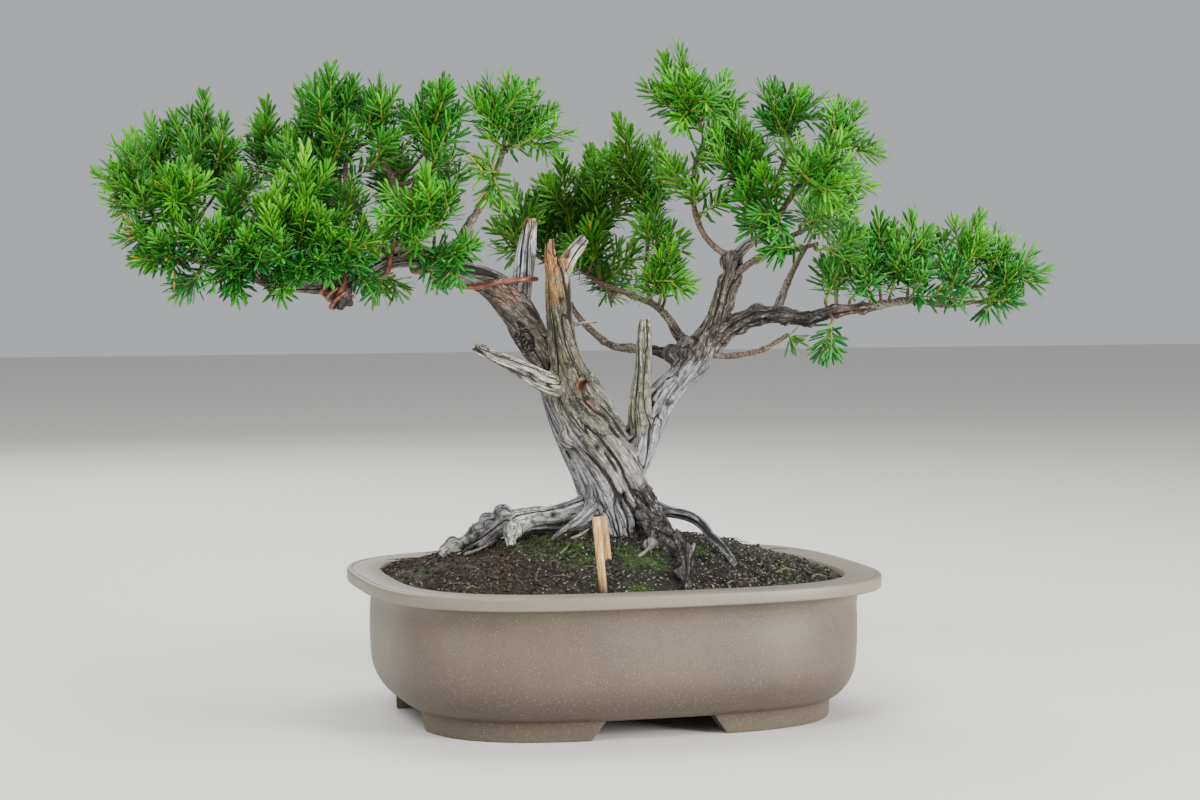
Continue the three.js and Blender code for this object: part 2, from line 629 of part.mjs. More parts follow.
function wireCurve() {
  const { rows, flutes } = LIMBS.left_limb;
  const frameCount = 400;
  const frames = framesAlong(curveOf(rows), frameCount);
  const spots = [];
  const count = WIRE_TURNS * WIRE_TURN_STEPS;
  for (let i = 0; i <= count; i++) {
    const share = i / count;
    const t = THREE.MathUtils.lerp(WIRE_FROM, WIRE_TO, share);
    const frame = frames[Math.round(t * frameCount)];
    const angle = 2 * Math.PI * WIRE_TURNS * share + WIRE_PHASE;
    const r = radiusAt(rows, t) * (1 + flutes) + WIRE_RADIUS + GAP;
    const spot = frame.at.clone();
    spot.addScaledVector(frame.side, r * Math.cos(angle));
    spot.addScaledVector(frame.over, r * Math.sin(angle));
    spots.push(spot);
  }
  return new THREE.CatmullRomCurve3(spots);
}

const wire = wireCurve();
const wireSteps = wire.points.length - 1;
const wireSolid = (grow = 0) => bentTube(wire, 5, wireSteps, () => WIRE_RADIUS + grow);

// Twigs and shoots

const livingLimbs = Object.values(LIMBS).filter((limb) => limb.bears);

// The nearest point on the middle line of living wood, and how far that limb's bark is.
function nearestWood(spot) {
  let best = { gap: Infinity };
  for (const { rows } of livingLimbs) {
    const curve = curveOf(rows);
    const steps = (rows.length - 1) * 6;
    for (let i = 0; i <= steps; i++) {
      const at = curve.getPoint(i / steps);
      const gap = at.distanceTo(spot) - radiusAt(rows, i / steps);
      if (gap < best.gap) best = { gap, at };
    }
  }
  return best;
}

// A shoot starts clear of the wood that bears it.
function startOf(base, tip) {
  const start = seen(base);
  const step = seen(tip).sub(start).normalize().multiplyScalar(START_STEP);
  for (let i = 0; i < MOST_STEPS_OUT && nearestWood(start).gap < START_CLEAR; i++) start.add(step);
  return start;
}

// The brown twig from the nearest limb to a shoot's foot, which it meets in the shoot's own direction.
function twigCurve(start, heading) {
  const { at } = nearestWood(start);
  const reach = at.distanceTo(start);
  const rise = at.clone().lerp(start, 0.4);
  rise.z -= TWIG_SAG * reach;
  const end = start.clone().addScaledVector(heading, -GAP);
  const approach = end.clone().addScaledVector(heading, -0.3 * reach);
  return { curve: new THREE.CubicBezierCurve3(at, rise, approach, end), reach };
}

const ringsOf = (curve) => Math.max(3, Math.round(curve.getLength() / SHOOT_RING_STEP));

// Side shoots leave the main one in turn, each from the middle of its own stretch between two rings.
const branchShare = (main, j) => (j - 0.5) / ringsOf(main);

// Moves a side shoot's middle control point until the shoot leaves the main one about square to it.
function bendAway(lean, from, along, reach) {
  const way = lean.clone().sub(from);
  const angle = way.angleTo(along);
  const wanted = THREE.MathUtils.clamp(angle, LEAST_LEAVE, MOST_LEAVE);
  if (wanted === angle) return;
  const aside = way.addScaledVector(along, -way.dot(along)).normalize();
  lean.copy(from).addScaledVector(along, 0.45 * reach * Math.cos(wanted));
  lean.addScaledVector(aside, 0.45 * reach * Math.sin(wanted));
}

function shootCurves(rows) {
  const start = startOf(rows[0], rows[1]);
  const curves = [];
  rows.slice(1).forEach((row, j) => {
    const main = curves[0];
    const from = main ? main.getPoint(branchShare(main, j)) : start;
    const end = seen(row);
    const chord = end.clone().sub(from);
    end.addScaledVector(chord.clone().normalize(), -TIP_REACH);
    const reach = end.distanceTo(from);
    const lean = from.clone().lerp(end, 0.5);
    lean.z -= SHOOT_SAG * reach;
    if (main) bendAway(lean, from, main.getTangent(branchShare(main, j)), reach);
    curves.push(new THREE.QuadraticBezierCurve3(from, lean, end));
  });
  return curves;
}

// A spray is one closed mesh: a slim three-sided stem, with faces that rise into needles and side shoots.
class Spray {
  constructor(owner, curves) {
    this.owner = owner;
    this.curves = curves;
    this.random = seeded([...owner].reduce((sum, letter) => sum * 31 + letter.charCodeAt(0), 7));
    this.frames = new Map();
    this.spots = [];
    this.faces = [];
    const foot = this.ring(curves[0], 0, 0);
    this.faces.push([foot[0], foot[2], foot[1]]);
    this.grow(foot, 0, 0);
  }

  // The frame at a ring, or half way between two.
  axis(curve, share) {
    if (!this.frames.has(curve)) this.frames.set(curve, framesAlong(curve, 2 * ringsOf(curve)));
    const frames = this.frames.get(curve);
    const { at, along, side } = frames[Math.round(share * (frames.length - 1))];
    return { at: at.clone(), along, side, over: along.clone().cross(side) };
  }

  ring(curve, share, turn) {
    const { at, side, over } = this.axis(curve, share);
    const radius = THREE.MathUtils.lerp(SHOOT_BASE_RADIUS, SHOOT_TIP_RADIUS, share);
    return [0, 1, 2].map((k) => {
      const angle = turn + (k * 2 * Math.PI) / 3;
      const spot = at.clone().addScaledVector(side, radius * Math.cos(angle));
      return this.spots.push(spot.addScaledVector(over, radius * Math.sin(angle))) - 1;
    });
  }

  centre(face) {
    const sum = face.reduce((total, f) => total.add(this.spots[f]), new THREE.Vector3());
    return sum.divideScalar(3);
  }

  // How far a ring is turned so that its points lie nearest those of a face.
  turnOf(face, { side, over }) {
    const centre = this.centre(face);
    const sum = new THREE.Vector2();
    face.forEach((f, k) => {
      const arm = this.spots[f].clone().sub(centre);
      const angle = Math.atan2(arm.dot(over), arm.dot(side)) - (k * 2 * Math.PI) / 3;
      sum.add(new THREE.Vector2(Math.cos(angle), Math.sin(angle)));
    });
    return sum.angle();
  }

  // The stem of one shoot, from a ring or a face of three points to its bud.
  grow(foot, shoot, level) {
    const curve = this.curves[shoot];
    const rings = ringsOf(curve);
    const turn = this.turnOf(foot, this.axis(curve, 0));
    let low = foot;
    for (let i = 0; i < rings; i++) {
      const high = this.ring(curve, (i + 1) / rings, turn + (i + 1 - level) * SHOOT_TWIST);
      const pairs = [0, 1, 2].flatMap((k) => {
        const next = (k + 1) % 3;
        return [[low[k], low[next], high[next]], [low[k], high[next], high[k]]];
      });
      const branch = !level && i + 1 < this.curves.length ? i + 1 : null;
      this.dress(pairs, curve, i, rings, shoot, branch);
      low = high;
    }
    const end = this.axis(curve, 1);
    const bud = this.spots.push(end.at.addScaledVector(end.along, BUD_LENGTH)) - 1;
    for (let k = 0; k < 3; k++) this.faces.push([low[k], low[(k + 1) % 3], bud]);
  }

  // Turns each face between two rings into a needle, the side shoot that leaves there, or plain stem.
  dress(faces, curve, i, rings, shoot, branch) {
    const share = (i + 0.5) / rings;
    const axis = this.axis(curve, share);
    const bare = share * curve.getLength() < BARE_FOOT;
    const bearing = new Set([i % 3, (i % 3) + 3]);
    if (i >= rings - 1) [1, 4].forEach((more) => bearing.add((i + more) % 6));
    const heading = branch && this.curves[branch].getTangent(0.1);
    const fit = faces.map((face) => (branch ? this.centre(face).sub(axis.at).dot(heading) : 0));
    const taken = branch ? fit.indexOf(Math.max(...fit)) : null;
    faces.forEach((face, f) => {
      if (f === taken) {
        this.grow(face, branch, 1);
        return;
      }
      const dressed = bearing.has(f) && !bare;
      const point = dressed ? this.needlePoint(this.centre(face), axis, share, shoot) : null;
      if (!point) {
        this.faces.push(face);
        return;
      }
      const tip = this.spots.push(point) - 1;
      for (let e = 0; e < 3; e++) this.faces.push([face[e], face[(e + 1) % 3], tip]);
    });
  }

  // Where a needle that rises from a face may end, or null where it has no room.
  needlePoint(foot, axis, share, shoot) {
    const { owner, random } = this;
    const out = foot.clone().sub(axis.at);
    out.addScaledVector(axis.along, -out.dot(axis.along)).normalize();
    const around = axis.along.clone().cross(out);
    const lean = THREE.MathUtils.lerp(FOOT_LEAN, TIP_LEAN, share ** 2);
    const fullness = Math.sin(Math.PI * Math.min(share + 0.12, 1));
    const length = NEEDLE_LENGTH * (SHORTEST_NEEDLE + 0.3 * fullness) * (0.92 + 0.16 * random());
    for (const [swing, tilt, cut] of NEEDLE_TRIES) {
      const angle = lean + tilt + (random() - 0.5) * 0.16;
      const way = axis.along.clone().multiplyScalar(Math.cos(angle));
      way.addScaledVector(out, Math.sin(angle) * Math.cos(swing));
      way.addScaledVector(around, Math.sin(angle) * Math.sin(swing));
      const point = foot.clone().addScaledVector(way, length * cut);
      const middle = foot.clone().addScaledVector(way, length * cut * NEEDLE_MIDDLE);
      const raised = foot.clone().addScaledVector(way, 0.8);
      const low = { a: raised, b: middle, r: NEEDLE_FOOT_RADIUS, owner, shoot, part: "low" };
      const high = { a: middle, b: point, r: NEEDLE_END_RADIUS, owner, shoot, part: "high" };
      const others = (s) => s.owner !== owner || s.shoot !== shoot;
      const twins = (s) => others(s) || s.part === "high";
      if (crowd.hit(low, others) || crowd.hit(high, twins, NEEDLE_CLEARANCE)) continue;
      crowd.add(low);
      crowd.add(high);
      return point;
    }
    return null;
  }

  solid() {
    const geometry = new THREE.BufferGeometry().setFromPoints(this.spots);
    geometry.setIndex(this.faces.flat());
    return solidOf(geometry);
  }
}

// Build: fixed pieces first, then every stem, then the needles between them.
for (const [name, limb] of Object.entries({ ...LIMBS, ...ROOTS })) {
  addStretches(limb.rows, name, 1 + (limb.flutes ?? 0));
}
for (const [name, rows] of Object.entries(STICKS)) addStretches(rows, name);
for (let i = 0; i < wireSteps; i++) {
  const a = wire.getPoint(i / wireSteps);
  const b = wire.getPoint((i + 1) / wireSteps);
  crowd.add({ a, b, r: WIRE_RADIUS, owner: "training_wire" });
}

const STEM_STEPS = 8;
const clashes = [];

// Adds a stem to the crowd, and notes what it comes too close to.
function addStem(curve, radius, labels, counts) {
  for (let i = 0; i < STEM_STEPS; i++) {
    const a = curve.getPoint(i / STEM_STEPS);
    const b = curve.getPoint((i + 1) / STEM_STEPS);
    const stretch = { a, b, r: radius(i / STEM_STEPS), ...labels };
    const hit = crowd.hit(stretch, counts, STEM_CLEARANCE);
    if (hit) clashes.push(`${labels.owner} ${labels.shoot ?? ""} at ${i}: ${hit.owner} ${hit.shoot ?? ""}`);
    crowd.add(stretch);
  }
}

const shoots = Object.fromEntries(Object.entries(SPRAYS).map(([name, rows]) => [name, shootCurves(rows)]));
for (const [owner, curves] of Object.entries(shoots)) {
  const strange = (s) => s.owner !== owner;
  curves.forEach((curve, shoot) => {
    addStem(curve, () => SHOOT_BASE_RADIUS, { owner, shoot, part: "stem" }, strange);
  });
}

const twigs = [];
for (const [owner, curves] of Object.entries(shoots)) {
  const { curve, reach } = twigCurve(curves[0].getPoint(0), curves[0].getTangent(0));
  const radius = (t) => TWIG_END_RADIUS + TWIG_TAPER * reach * (1 - t);
  twigs.push(bentTube(curve, 3, reach > LONG_TWIG ? 3 : 1, radius));
  const inTheWay = (s) => (s.part === "stem" && s.owner !== owner) || s.owner === "training_wire";
  addStem(curve, radius, { owner: "twig_" + owner }, inTheWay);
}
if (clashes.length) throw new Error("stems cross: " + clashes.join(", "));

const treeParts = [...Object.values(LIMBS), ...Object.values(ROOTS)].map((limb) => limbSolid(limb));
const tree = largest(joined([...treeParts, ...twigs]).subtract(wireSolid(GAP)));
const buried = joined([LIMBS.trunk, ...Object.values(ROOTS)].map((limb) => limbSolid(limb, GAP)));
const stickSolid = (rows, grow = 0) => bentTube(curveOf(rows), 6, 2, (t) => radiusAt(rows, t) + grow);
const sunk = joined([
  buried,
  ...Object.values(STICKS).map((rows) => stickSolid(rows, GAP)),
  screenSolid(-1, GAP),
  screenSolid(1, GAP),
]);

// Finishes
function finish(color, roughness, metalness = 0) {
  return new THREE.MeshStandardMaterial({ color, roughness, metalness });
}

const CLAY = finish(0x978877, 0.7);
const WOOD = finish(0x8b8175, 0.85);
const EARTH = finish(0x33291f, 0.95);
const NEEDLES = finish(0x3c8f2b, 0.5);
const COPPER = finish(0x8a4a35, 0.45, 0.6);
const PALE_WOOD = finish(0xc9a672, 0.7);
const BLACK_MESH = finish(0x222222, 0.6);

const bonsai = new THREE.Group();
bonsai.name = "yew_bonsai";

function place(name, solid, material) {
  const mesh = new THREE.Mesh(geometryOf(solid), material);
  mesh.name = name;
  bonsai.add(mesh);
}

place("pot", potSolid(), CLAY);
place("drain_screen_left", screenSolid(-1), BLACK_MESH);
place("drain_screen_right", screenSolid(1), BLACK_MESH);
place("soil", soilSolid(sunk), EARTH);
place("tree_wood", tree, WOOD);
place("training_wire", wireSolid(), COPPER);
for (const [name, rows] of Object.entries(STICKS)) place(name, stickSolid(rows), PALE_WOOD);
for (const [name, curves] of Object.entries(shoots)) {
  place("spray_" + name, new Spray(name, curves).solid(), NEEDLES);
}

// The part's origin is the middle of its box, at the surface that the feet stand on.
const box = new THREE.Box3().setFromObject(bonsai);
const middle = box.getCenter(new THREE.Vector3());
bonsai.position.set(-middle.x, -middle.y, 0);

const part = new THREE.Group();
part.add(bonsai);
export default part;
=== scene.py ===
import math
from itertools import product

import bpy
import numpy as np
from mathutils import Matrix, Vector


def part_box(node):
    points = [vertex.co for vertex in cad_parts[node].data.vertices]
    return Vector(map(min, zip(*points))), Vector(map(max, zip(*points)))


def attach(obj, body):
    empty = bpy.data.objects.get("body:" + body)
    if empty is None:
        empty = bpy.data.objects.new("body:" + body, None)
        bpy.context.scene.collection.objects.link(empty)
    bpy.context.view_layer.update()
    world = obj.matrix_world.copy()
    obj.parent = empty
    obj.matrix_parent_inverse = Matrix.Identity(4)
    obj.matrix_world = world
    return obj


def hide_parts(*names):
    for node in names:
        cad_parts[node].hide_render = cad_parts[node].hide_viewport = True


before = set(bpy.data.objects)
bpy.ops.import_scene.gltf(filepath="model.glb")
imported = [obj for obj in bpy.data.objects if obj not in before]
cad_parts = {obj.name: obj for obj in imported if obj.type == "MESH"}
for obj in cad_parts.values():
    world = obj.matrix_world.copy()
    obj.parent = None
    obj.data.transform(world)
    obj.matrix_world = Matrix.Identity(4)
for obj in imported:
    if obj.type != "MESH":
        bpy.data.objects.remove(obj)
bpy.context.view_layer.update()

# The looks of a yew bonsai in its clay pot. Lengths here are millimetres until a mesh is made.
MM = 0.001

# The tree is drawn as its front is seen: [across, up, back] in the upright plane through the pot's middle.
PICTURE_WIDTH, PICTURE_HEIGHT = 1200, 800
FOCAL_PIXELS = 2555
EYE_DISTANCE = 1984
EYE_HEIGHT = 357
EYE = [0, EYE_HEIGHT, -EYE_DISTANCE + 1e-3]
EYE_PITCH = math.radians(3.3)
POT_TURN = math.radians(16.87)
TURN_COS, TURN_SIN = math.cos(POT_TURN), math.sin(POT_TURN)
POT_SHIFT = 8.8
pot_low, pot_high = (np.array(corner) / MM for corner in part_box("pot"))
POT_X, POT_Y = (pot_low + pot_high)[:2] / 2

POT_HALF_LENGTH = 200
POT_HALF_WIDTH = 161
POT_HEIGHT = 111
CORNER_POWER = 3.2
RIM_DEPTH = 9.6
LIP_WIDTH = 26
WALL_INSET = 17.5
BASE_INSET = 33.5
BASE_ROUND = 31
FOOT_HEIGHT = 15
FOOT_INSET = 37
FOOT_WIDTH = 19
# Half the width of the cuts through the foot ring, at the table and at the pot's underside.
FRONT_OPENING = (57, 42)
END_OPENING = (53, 42)
FLOOR_THICKNESS = 9
FLOOR_TOP = FOOT_HEIGHT + FLOOR_THICKNESS
FLOOR_INSET = 38
DRAIN_RADIUS = 13
DRAIN_SPREAD = 80
SCREEN_SIZE = 42
SOIL_EDGE = 106
SOIL_RISE = 36
SOIL_POWER = 1.7
SOIL_GAP = 0.35

# Limbs: [across, up, back, radius] from the foot outwards.
LIMBS = {
    "trunk": [[21, 84, 4, 24], [19, 106, 4, 31], [16, 133, 2, 30], [13, 155, 0, 27], [9, 180, 0, 25.5],
              [0, 206, 0, 24], [-12, 231, 0, 22.5], [-23, 252, 0, 19.5], [-27, 268, 0, 14]],
    "trunk_vein": [[0, 161, 12, 14], [-11, 182, 12, 10], [-22, 204, 14, 8.5], [-31, 227, 16, 8.5],
                   [-37, 249, 18, 9.5], [-40, 264, 20, 9.5]],
    "left_limb": [[-20, 241, 12, 15.5], [-37, 269, 16, 12.5], [-51, 292, 16, 13.5], [-68, 318, 13, 14.5],
                  [-84, 333, 10, 11.5], [-104, 341, 8, 10], [-124, 347, 4, 9.5], [-143, 354, 0, 9],
                  [-160, 354, -2, 8.5], [-180, 345, -5, 7.8], [-202, 333, -8, 7.4], [-229, 332, -8, 6.2],
                  [-252, 333, -6, 5.4], [-271, 339, -2, 4.3], [-299, 348, 4, 3.5], [-326, 354, 10, 2.5]],
    "left_knob": [[-194, 336, -8, 7], [-199, 325, -10, 6.4], [-201, 318, -11, 5], [-202, 312, -11, 3.2]],
    "far_left": [[-293, 347, 3, 3.5], [-310, 362, 0, 3.1], [-324, 378, -4, 2.8], [-335, 392, -6, 2.3]],
    "left_stem": [[-172, 348, -4, 4.5], [-181, 374, 4, 3.4], [-190, 396, 8, 2.8], [-203, 412, 12, 2.2],
                  [-208, 429, 14, 2]],
    "left_side_stem": [[-190, 396, 8, 2.4], [-197, 416, 6, 2], [-195, 430, 6, 1.8], [-185, 440, 8, 1.6]],
    "left_inner_stem": [[-146, 352, 0, 4.6], [-152, 386, 6, 3.4], [-161, 416, 10, 2.8], [-171, 431, 14, 2.1]],
    "left_back_stem": [[-238, 333, -7, 4.2], [-245, 354, 12, 3], [-250, 378, 28, 2.4], [-254, 398, 40, 1.9]],
    "mid_left_stem": [[-119, 348, 6, 4.7], [-112, 361, 4, 3.6], [-104, 375, 2, 3.2], [-93, 392, 0, 3.1],
                      [-84, 408, -2, 2.9], [-78, 426, -4, 2.5], [-74, 438, -5, 2.2]],
    "snag": [[-22, 249, -6, 15.5], [-26, 270, -8, 12], [-30, 293, -8, 10.5], [-32, 316, -8, 10],
             [-33, 336, -8, 9.5], [-33, 347, -8, 7]],
    "snag_left": [[-34, 332, -8, 7.8], [-38, 350, -9, 5.4], [-39, 362, -9, 4], [-38, 371, -9, 2.6]],
    "snag_right": [[-31, 337, -8, 7], [-25, 352, -7, 6], [-18, 361, -6, 5.4], [-9, 371, -5, 4]],
    "snag_twig": [[-26, 297, -8, 2.7], [-16, 302, -10, 1.9], [-2, 303, -12, 1.4]],
    "low_jin": [[-26, 250, -8, 10.9], [-43, 257, -12, 8.9], [-62, 267, -16, 6.6], [-81, 276, -19, 5.6],
                [-101, 286, -22, 3.8]],
    "left_jin": [[-62, 320, 10, 8.6], [-59, 342, 9, 8.2], [-57, 361, 8, 7.4], [-55, 376, 8, 5.6],
                 [-54, 386, 8, 4]],
    "right_limb": [[17, 180, 6, 15.5], [29, 200, 8, 13.2], [37, 224, 10, 12.4], [48, 244, 12, 12],
                   [65, 262, 12, 11.6], [79, 277, 12, 11.3], [85, 288, 12, 9.3]],
    "middle_snag": [[31, 219, 6, 10.1], [31, 243, 2, 8.9], [33, 266, 0, 6.6], [34, 289, 0, 6.2],
                    [35, 309, 0, 5.4]],
    "right_up": [[81, 282, 12, 10.9], [90, 303, 12, 8.5], [96, 322, 11, 8.2], [102, 340, 10, 8],
                 [103, 353, 9, 7.6]],
    "up_left": [[102, 354, 8, 3.5], [92, 359, 6, 2.6], [82, 369, 4, 2.3], [76, 381, 2, 2.3],
                [72, 399, 0, 2.1], [74, 425, 0, 2], [79, 440, 0, 1.8]],
    "up_right": [[105, 354, 8, 4.7], [115, 364, 0, 3.9], [126, 369, -10, 3.5], [136, 382, -18, 2.6],
                 [147, 399, -24, 2.3], [159, 415, -28, 2], [170, 427, -30, 1.8]],
    "up_middle": [[126, 369, -10, 3], [130, 394, -6, 2.2], [138, 416, -2, 1.9], [146, 436, 0, 1.7]],
    "up_low": [[107, 342, 8, 3.1], [118, 350, -6, 2.5], [129, 357, -16, 2.3], [143, 367, -26, 2.1],
               [155, 373, -32, 1.9]],
    "up_lower": [[127, 356, -14, 2], [147, 358, -24, 1.8], [169, 364, -34, 1.6]],
    "right_arm": [[82, 282, 12, 9.3], [101, 299, 8, 7], [118, 307, 4, 7], [138, 309, 0, 7],
                  [161, 306, -6, 6.2], [183, 312, -10, 5.4], [205, 314, -12, 4], [225, 318, -12, 3],
                  [244, 320, -12, 2.4], [270, 316, -14, 2.1], [290, 319, -14, 1.7]],
    "arm_back": [[137, 311, 4, 3.9], [145, 333, 26, 2.8], [153, 350, 40, 2.3], [160, 362, 50, 1.9]],
    "arm_tip": [[268, 316, -14, 1.7], [282, 327, -12, 1.4], [290, 331, -11, 1.2]],
    "low_twig": [[82, 280, 14, 3.9], [95, 277, 20, 2.4], [110, 278, 26, 2.1], [127, 282, 32, 2.1],
                 [140, 290, 38, 1.9]],
    "back_left": [[81, 283, 14, 9.3], [65, 279, 34, 6.6], [53, 279, 44, 5.3], [39, 282, 52, 4.2],
                  [24, 283, 58, 3.6], [9, 285, 64, 3.1], [-6, 296, 72, 2.8], [-18, 309, 80, 2.5],
                  [-29, 328, 88, 2.3], [-40, 350, 94, 1.9]],
    "back_up": [[75, 284, 18, 7], [62, 292, 30, 4.7], [53, 306, 40, 3.3], [43, 316, 46, 2.8],
                [32, 321, 52, 2.5], [17, 327, 58, 2.3], [2, 333, 64, 2], [-11, 341, 68, 1.9],
                [-22, 350, 72, 1.6]],
    "back_stem": [[40, 317, 48, 2.3], [37, 330, 52, 1.9], [36, 345, 56, 1.7], [37, 364, 60, 1.6],
                  [38, 378, 61, 1.5]],
    "root_left": [[3, 160, -4, 13.2], [-16, 157, -10, 10], [-35, 153, -14, 8.4], [-54, 152, -16, 8.2],
                  [-69, 148, -15, 8.6], [-80, 142, -12, 7.8], [-93, 134, -8, 8.6], [-106, 129, -4, 7],
                  [-115, 125, -2, 5]],
    "root_left_keel": [[-5, 148, -6, 9], [-33, 146, -12, 6.5], [-54, 145, -14, 6], [-70, 141, -14, 5.4]],
    "root_left_fork": [[-66, 150, -16, 5.4], [-70, 140, -26, 5], [-69, 128, -34, 3.9], [-68, 120, -38, 2.5]],
    "root_left_back": [[-69, 150, -12, 5.4], [-81, 151, -6, 5], [-90, 145, 0, 3.9], [-97, 134, 8, 2.5]],
    "root_fork": [[-9, 155, -18, 6.2], [-21, 145, -34, 3.8], [-30, 140, -42, 2.8], [-38, 133, -50, 1.9]],
    "root_right": [[30, 165, -8, 13.2], [41, 150, -22, 10.1], [51, 138, -38, 7.8], [62, 125, -56, 6.6],
                   [68, 111, -78, 5.8], [66, 98, -104, 4.3], [64, 88, -116, 3]],
    "root_far": [[30, 160, 2, 8], [41, 158, 2, 7], [55, 155, -4, 4.6], [69, 152, -12, 4.3],
                 [79, 146, -22, 4], [87, 136, -36, 3.6], [97, 126, -52, 3.1], [106, 113, -66, 2.3]],
    "root_small": [[37, 147, -26, 4.7], [40, 132, -46, 2.4], [36, 117, -62, 1.5]],
    "root_front": [[14, 161, -8, 18.6], [17, 137, -16, 17.1], [21, 116, -22, 13.2]],
    "root_rear": [[14, 158, 6, 15], [22, 146, 32, 9.5], [34, 136, 58, 6.2], [40, 124, 84, 3.6]],
    "root_rear_left": [[4, 156, 8, 12], [-16, 148, 34, 7.2], [-38, 139, 56, 4.6], [-56, 127, 74, 2.8]],
}
BEARING = ["left_limb", "far_left", "left_stem", "left_side_stem", "left_inner_stem", "left_back_stem",
           "mid_left_stem", "right_up", "up_left", "up_right", "up_middle", "up_low", "up_lower", "right_arm",
           "arm_back", "arm_tip", "low_twig", "back_left", "back_up", "back_stem"]

# Sprays: where the green shoot leaves its twig, then the furthest needle point of each of its shoots.
SIDES = {
    "left": [
        [[-342, 399, -8], [-396, 419, -30], [-380, 445, -8], [-387, 394, -34]],
        [[-336, 404, 20], [-349, 465, 30], [-366, 452, 55]],
        [[-322, 387, -24], [-319, 431, -38], [-340, 426, -52]],
        [[-306, 401, 28], [-306, 484, 30], [-331, 469, 42], [-289, 466, 18]],
        [[-329, 368, -14], [-380, 368, -28], [-366, 349, -16]],
        [[-301, 353, -20], [-293, 388, -46], [-328, 378, -52]],
        [[-310, 344, 4], [-332, 318, 14]],
        [[-275, 347, -24], [-272, 376, -62], [-290, 327, -44]],
        [[-254, 412, 45], [-259, 479, 50], [-277, 446, 62], [-239, 458, 38]],
        [[-282, 387, 84], [-288, 436, 96], [-265, 424, 112], [-300, 404, 118]],
        [[-247, 353, -24], [-245, 418, -38], [-259, 395, -58]],
        [[-218, 393, 10], [-234, 462, 20], [-218, 476, 32]],
        [[-208, 436, 14], [-208, 505, 12], [-191, 493, 30], [-224, 495, -2]],
        [[-179, 442, 8], [-169, 496, 2], [-155, 487, -10], [-185, 484, 34]],
        [[-219, 359, -26], [-217, 396, -70], [-197, 385, -54], [-192, 393, -36], [-209, 330, -60]],
        [[-164, 387, 22], [-158, 452, 34], [-144, 435, 18], [-173, 429, 56]],
        [[-136, 435, 0], [-117, 495, -4], [-134, 489, 12], [-147, 472, -16]],
        [[-128, 371, -24], [-136, 427, -44], [-111, 413, -34], [-159, 405, -56], [-177, 387, -80]],
        [[-110, 353, -26], [-94, 370, -44], [-127, 328, -48]],
        [[-168, 345, 24], [-179, 317, 44], [-146, 328, 54]],
        [[-74, 444, -6], [-89, 497, -16], [-71, 499, 2], [-105, 486, -26], [-59, 487, -34]],
        [[-71, 438, 8], [-49, 492, 22], [-31, 471, 12], [-14, 450, -2]],
        [[-80, 419, -12], [-104, 430, -32], [-68, 388, -20]],
        [[-127, 381, 58], [-114, 436, 76], [-136, 419, 100]],
        [[-206, 370, 60], [-204, 425, 84], [-231, 409, 104]],
    ],
    "middle": [
        [[-60, 362, 84], [-90, 381, 84], [-68, 343, 92], [-43, 398, 78]],
        [[-22, 371, 86], [-32, 437, 92], [-6, 442, 104], [-51, 416, 112]],
        [[0, 370, 78], [7, 441, 84], [-15, 405, 112]],
        [[40, 387, 60], [12, 466, 62], [44, 449, 72], [60, 430, 84]],
        [[45, 352, 46], [60, 382, 38], [30, 388, 20], [70, 370, 62]],
        [[50, 324, 32], [31, 348, 14], [20, 328, 28], [58, 364, 16], [78, 333, 4]],
        [[-6, 350, 60], [4, 375, 68], [-29, 368, 54], [-30, 345, 40]],
        [[9, 320, 84], [-6, 359, 128], [23, 350, 140]],
    ],
    "right": [
        [[80, 447, 0], [57, 523, -6], [46, 512, 6], [101, 499, 12], [114, 476, -2], [57, 453, -24],
         [96, 456, -30]],
        [[75, 385, 0], [71, 416, -18]],
        [[115, 398, -10], [100, 476, -12], [119, 453, -26]],
        [[148, 442, 0], [120, 490, 2], [131, 493, 14], [157, 487, -10], [180, 481, -6]],
        [[175, 432, -30], [188, 479, -24], [204, 474, -8], [224, 430, -16]],
        [[166, 406, -44], [149, 429, -78], [176, 439, -74], [193, 412, -86], [218, 407, -58],
         [194, 387, -86]],
        [[141, 388, -44], [118, 387, -78], [138, 365, -76]],
        [[126, 381, -24], [108, 401, -50], [112, 368, -44]],
        [[164, 370, 56], [170, 401, 78], [198, 381, 84], [155, 398, 112]],
        [[185, 333, 24], [194, 370, 54], [217, 378, 62], [171, 350, 74]],
        [[217, 328, -18], [216, 391, -26], [200, 371, -50]],
        [[239, 328, -16], [242, 392, -20], [257, 378, -2], [226, 350, -58]],
        [[267, 327, -14], [297, 391, -14], [313, 378, -4], [262, 364, -42]],
        [[298, 333, -12], [323, 372, -8], [342, 362, -22], [354, 342, -14]],
        [[298, 319, -16], [329, 327, -26], [298, 302, -20]],
        [[180, 303, -26], [169, 271, -36]],
        [[146, 294, 40], [158, 285, 50]],
    ],
}
SPRAYS = {f"{side}_{i:02d}": rows for side, sprays in SIDES.items() for i, rows in enumerate(sprays, 1)}
STICKS = {
    "marker_stick_front": [[7, 52, -134, 3.2], [3, 91, -134, 3.5], [-3, 151, -134, 3.9]],
    "marker_stick_back": [[10, 88, -80, 3.1], [6, 118, -80, 3.4], [2, 152, -80, 3.7]],
}


# Places

def seen(rows):
    """The point, in the part's own frame, of each [across, up, back]."""
    across, up, back = np.moveaxis(np.asarray(rows, float)[..., :3], -1, 0)
    k = (EYE_DISTANCE + back) / EYE_DISTANCE
    x = across * k - POT_SHIFT
    return np.stack([x * TURN_COS + back * TURN_SIN + POT_X, back * TURN_COS - x * TURN_SIN + POT_Y,
                     EYE_HEIGHT + (up - EYE_HEIGHT) * k], -1)


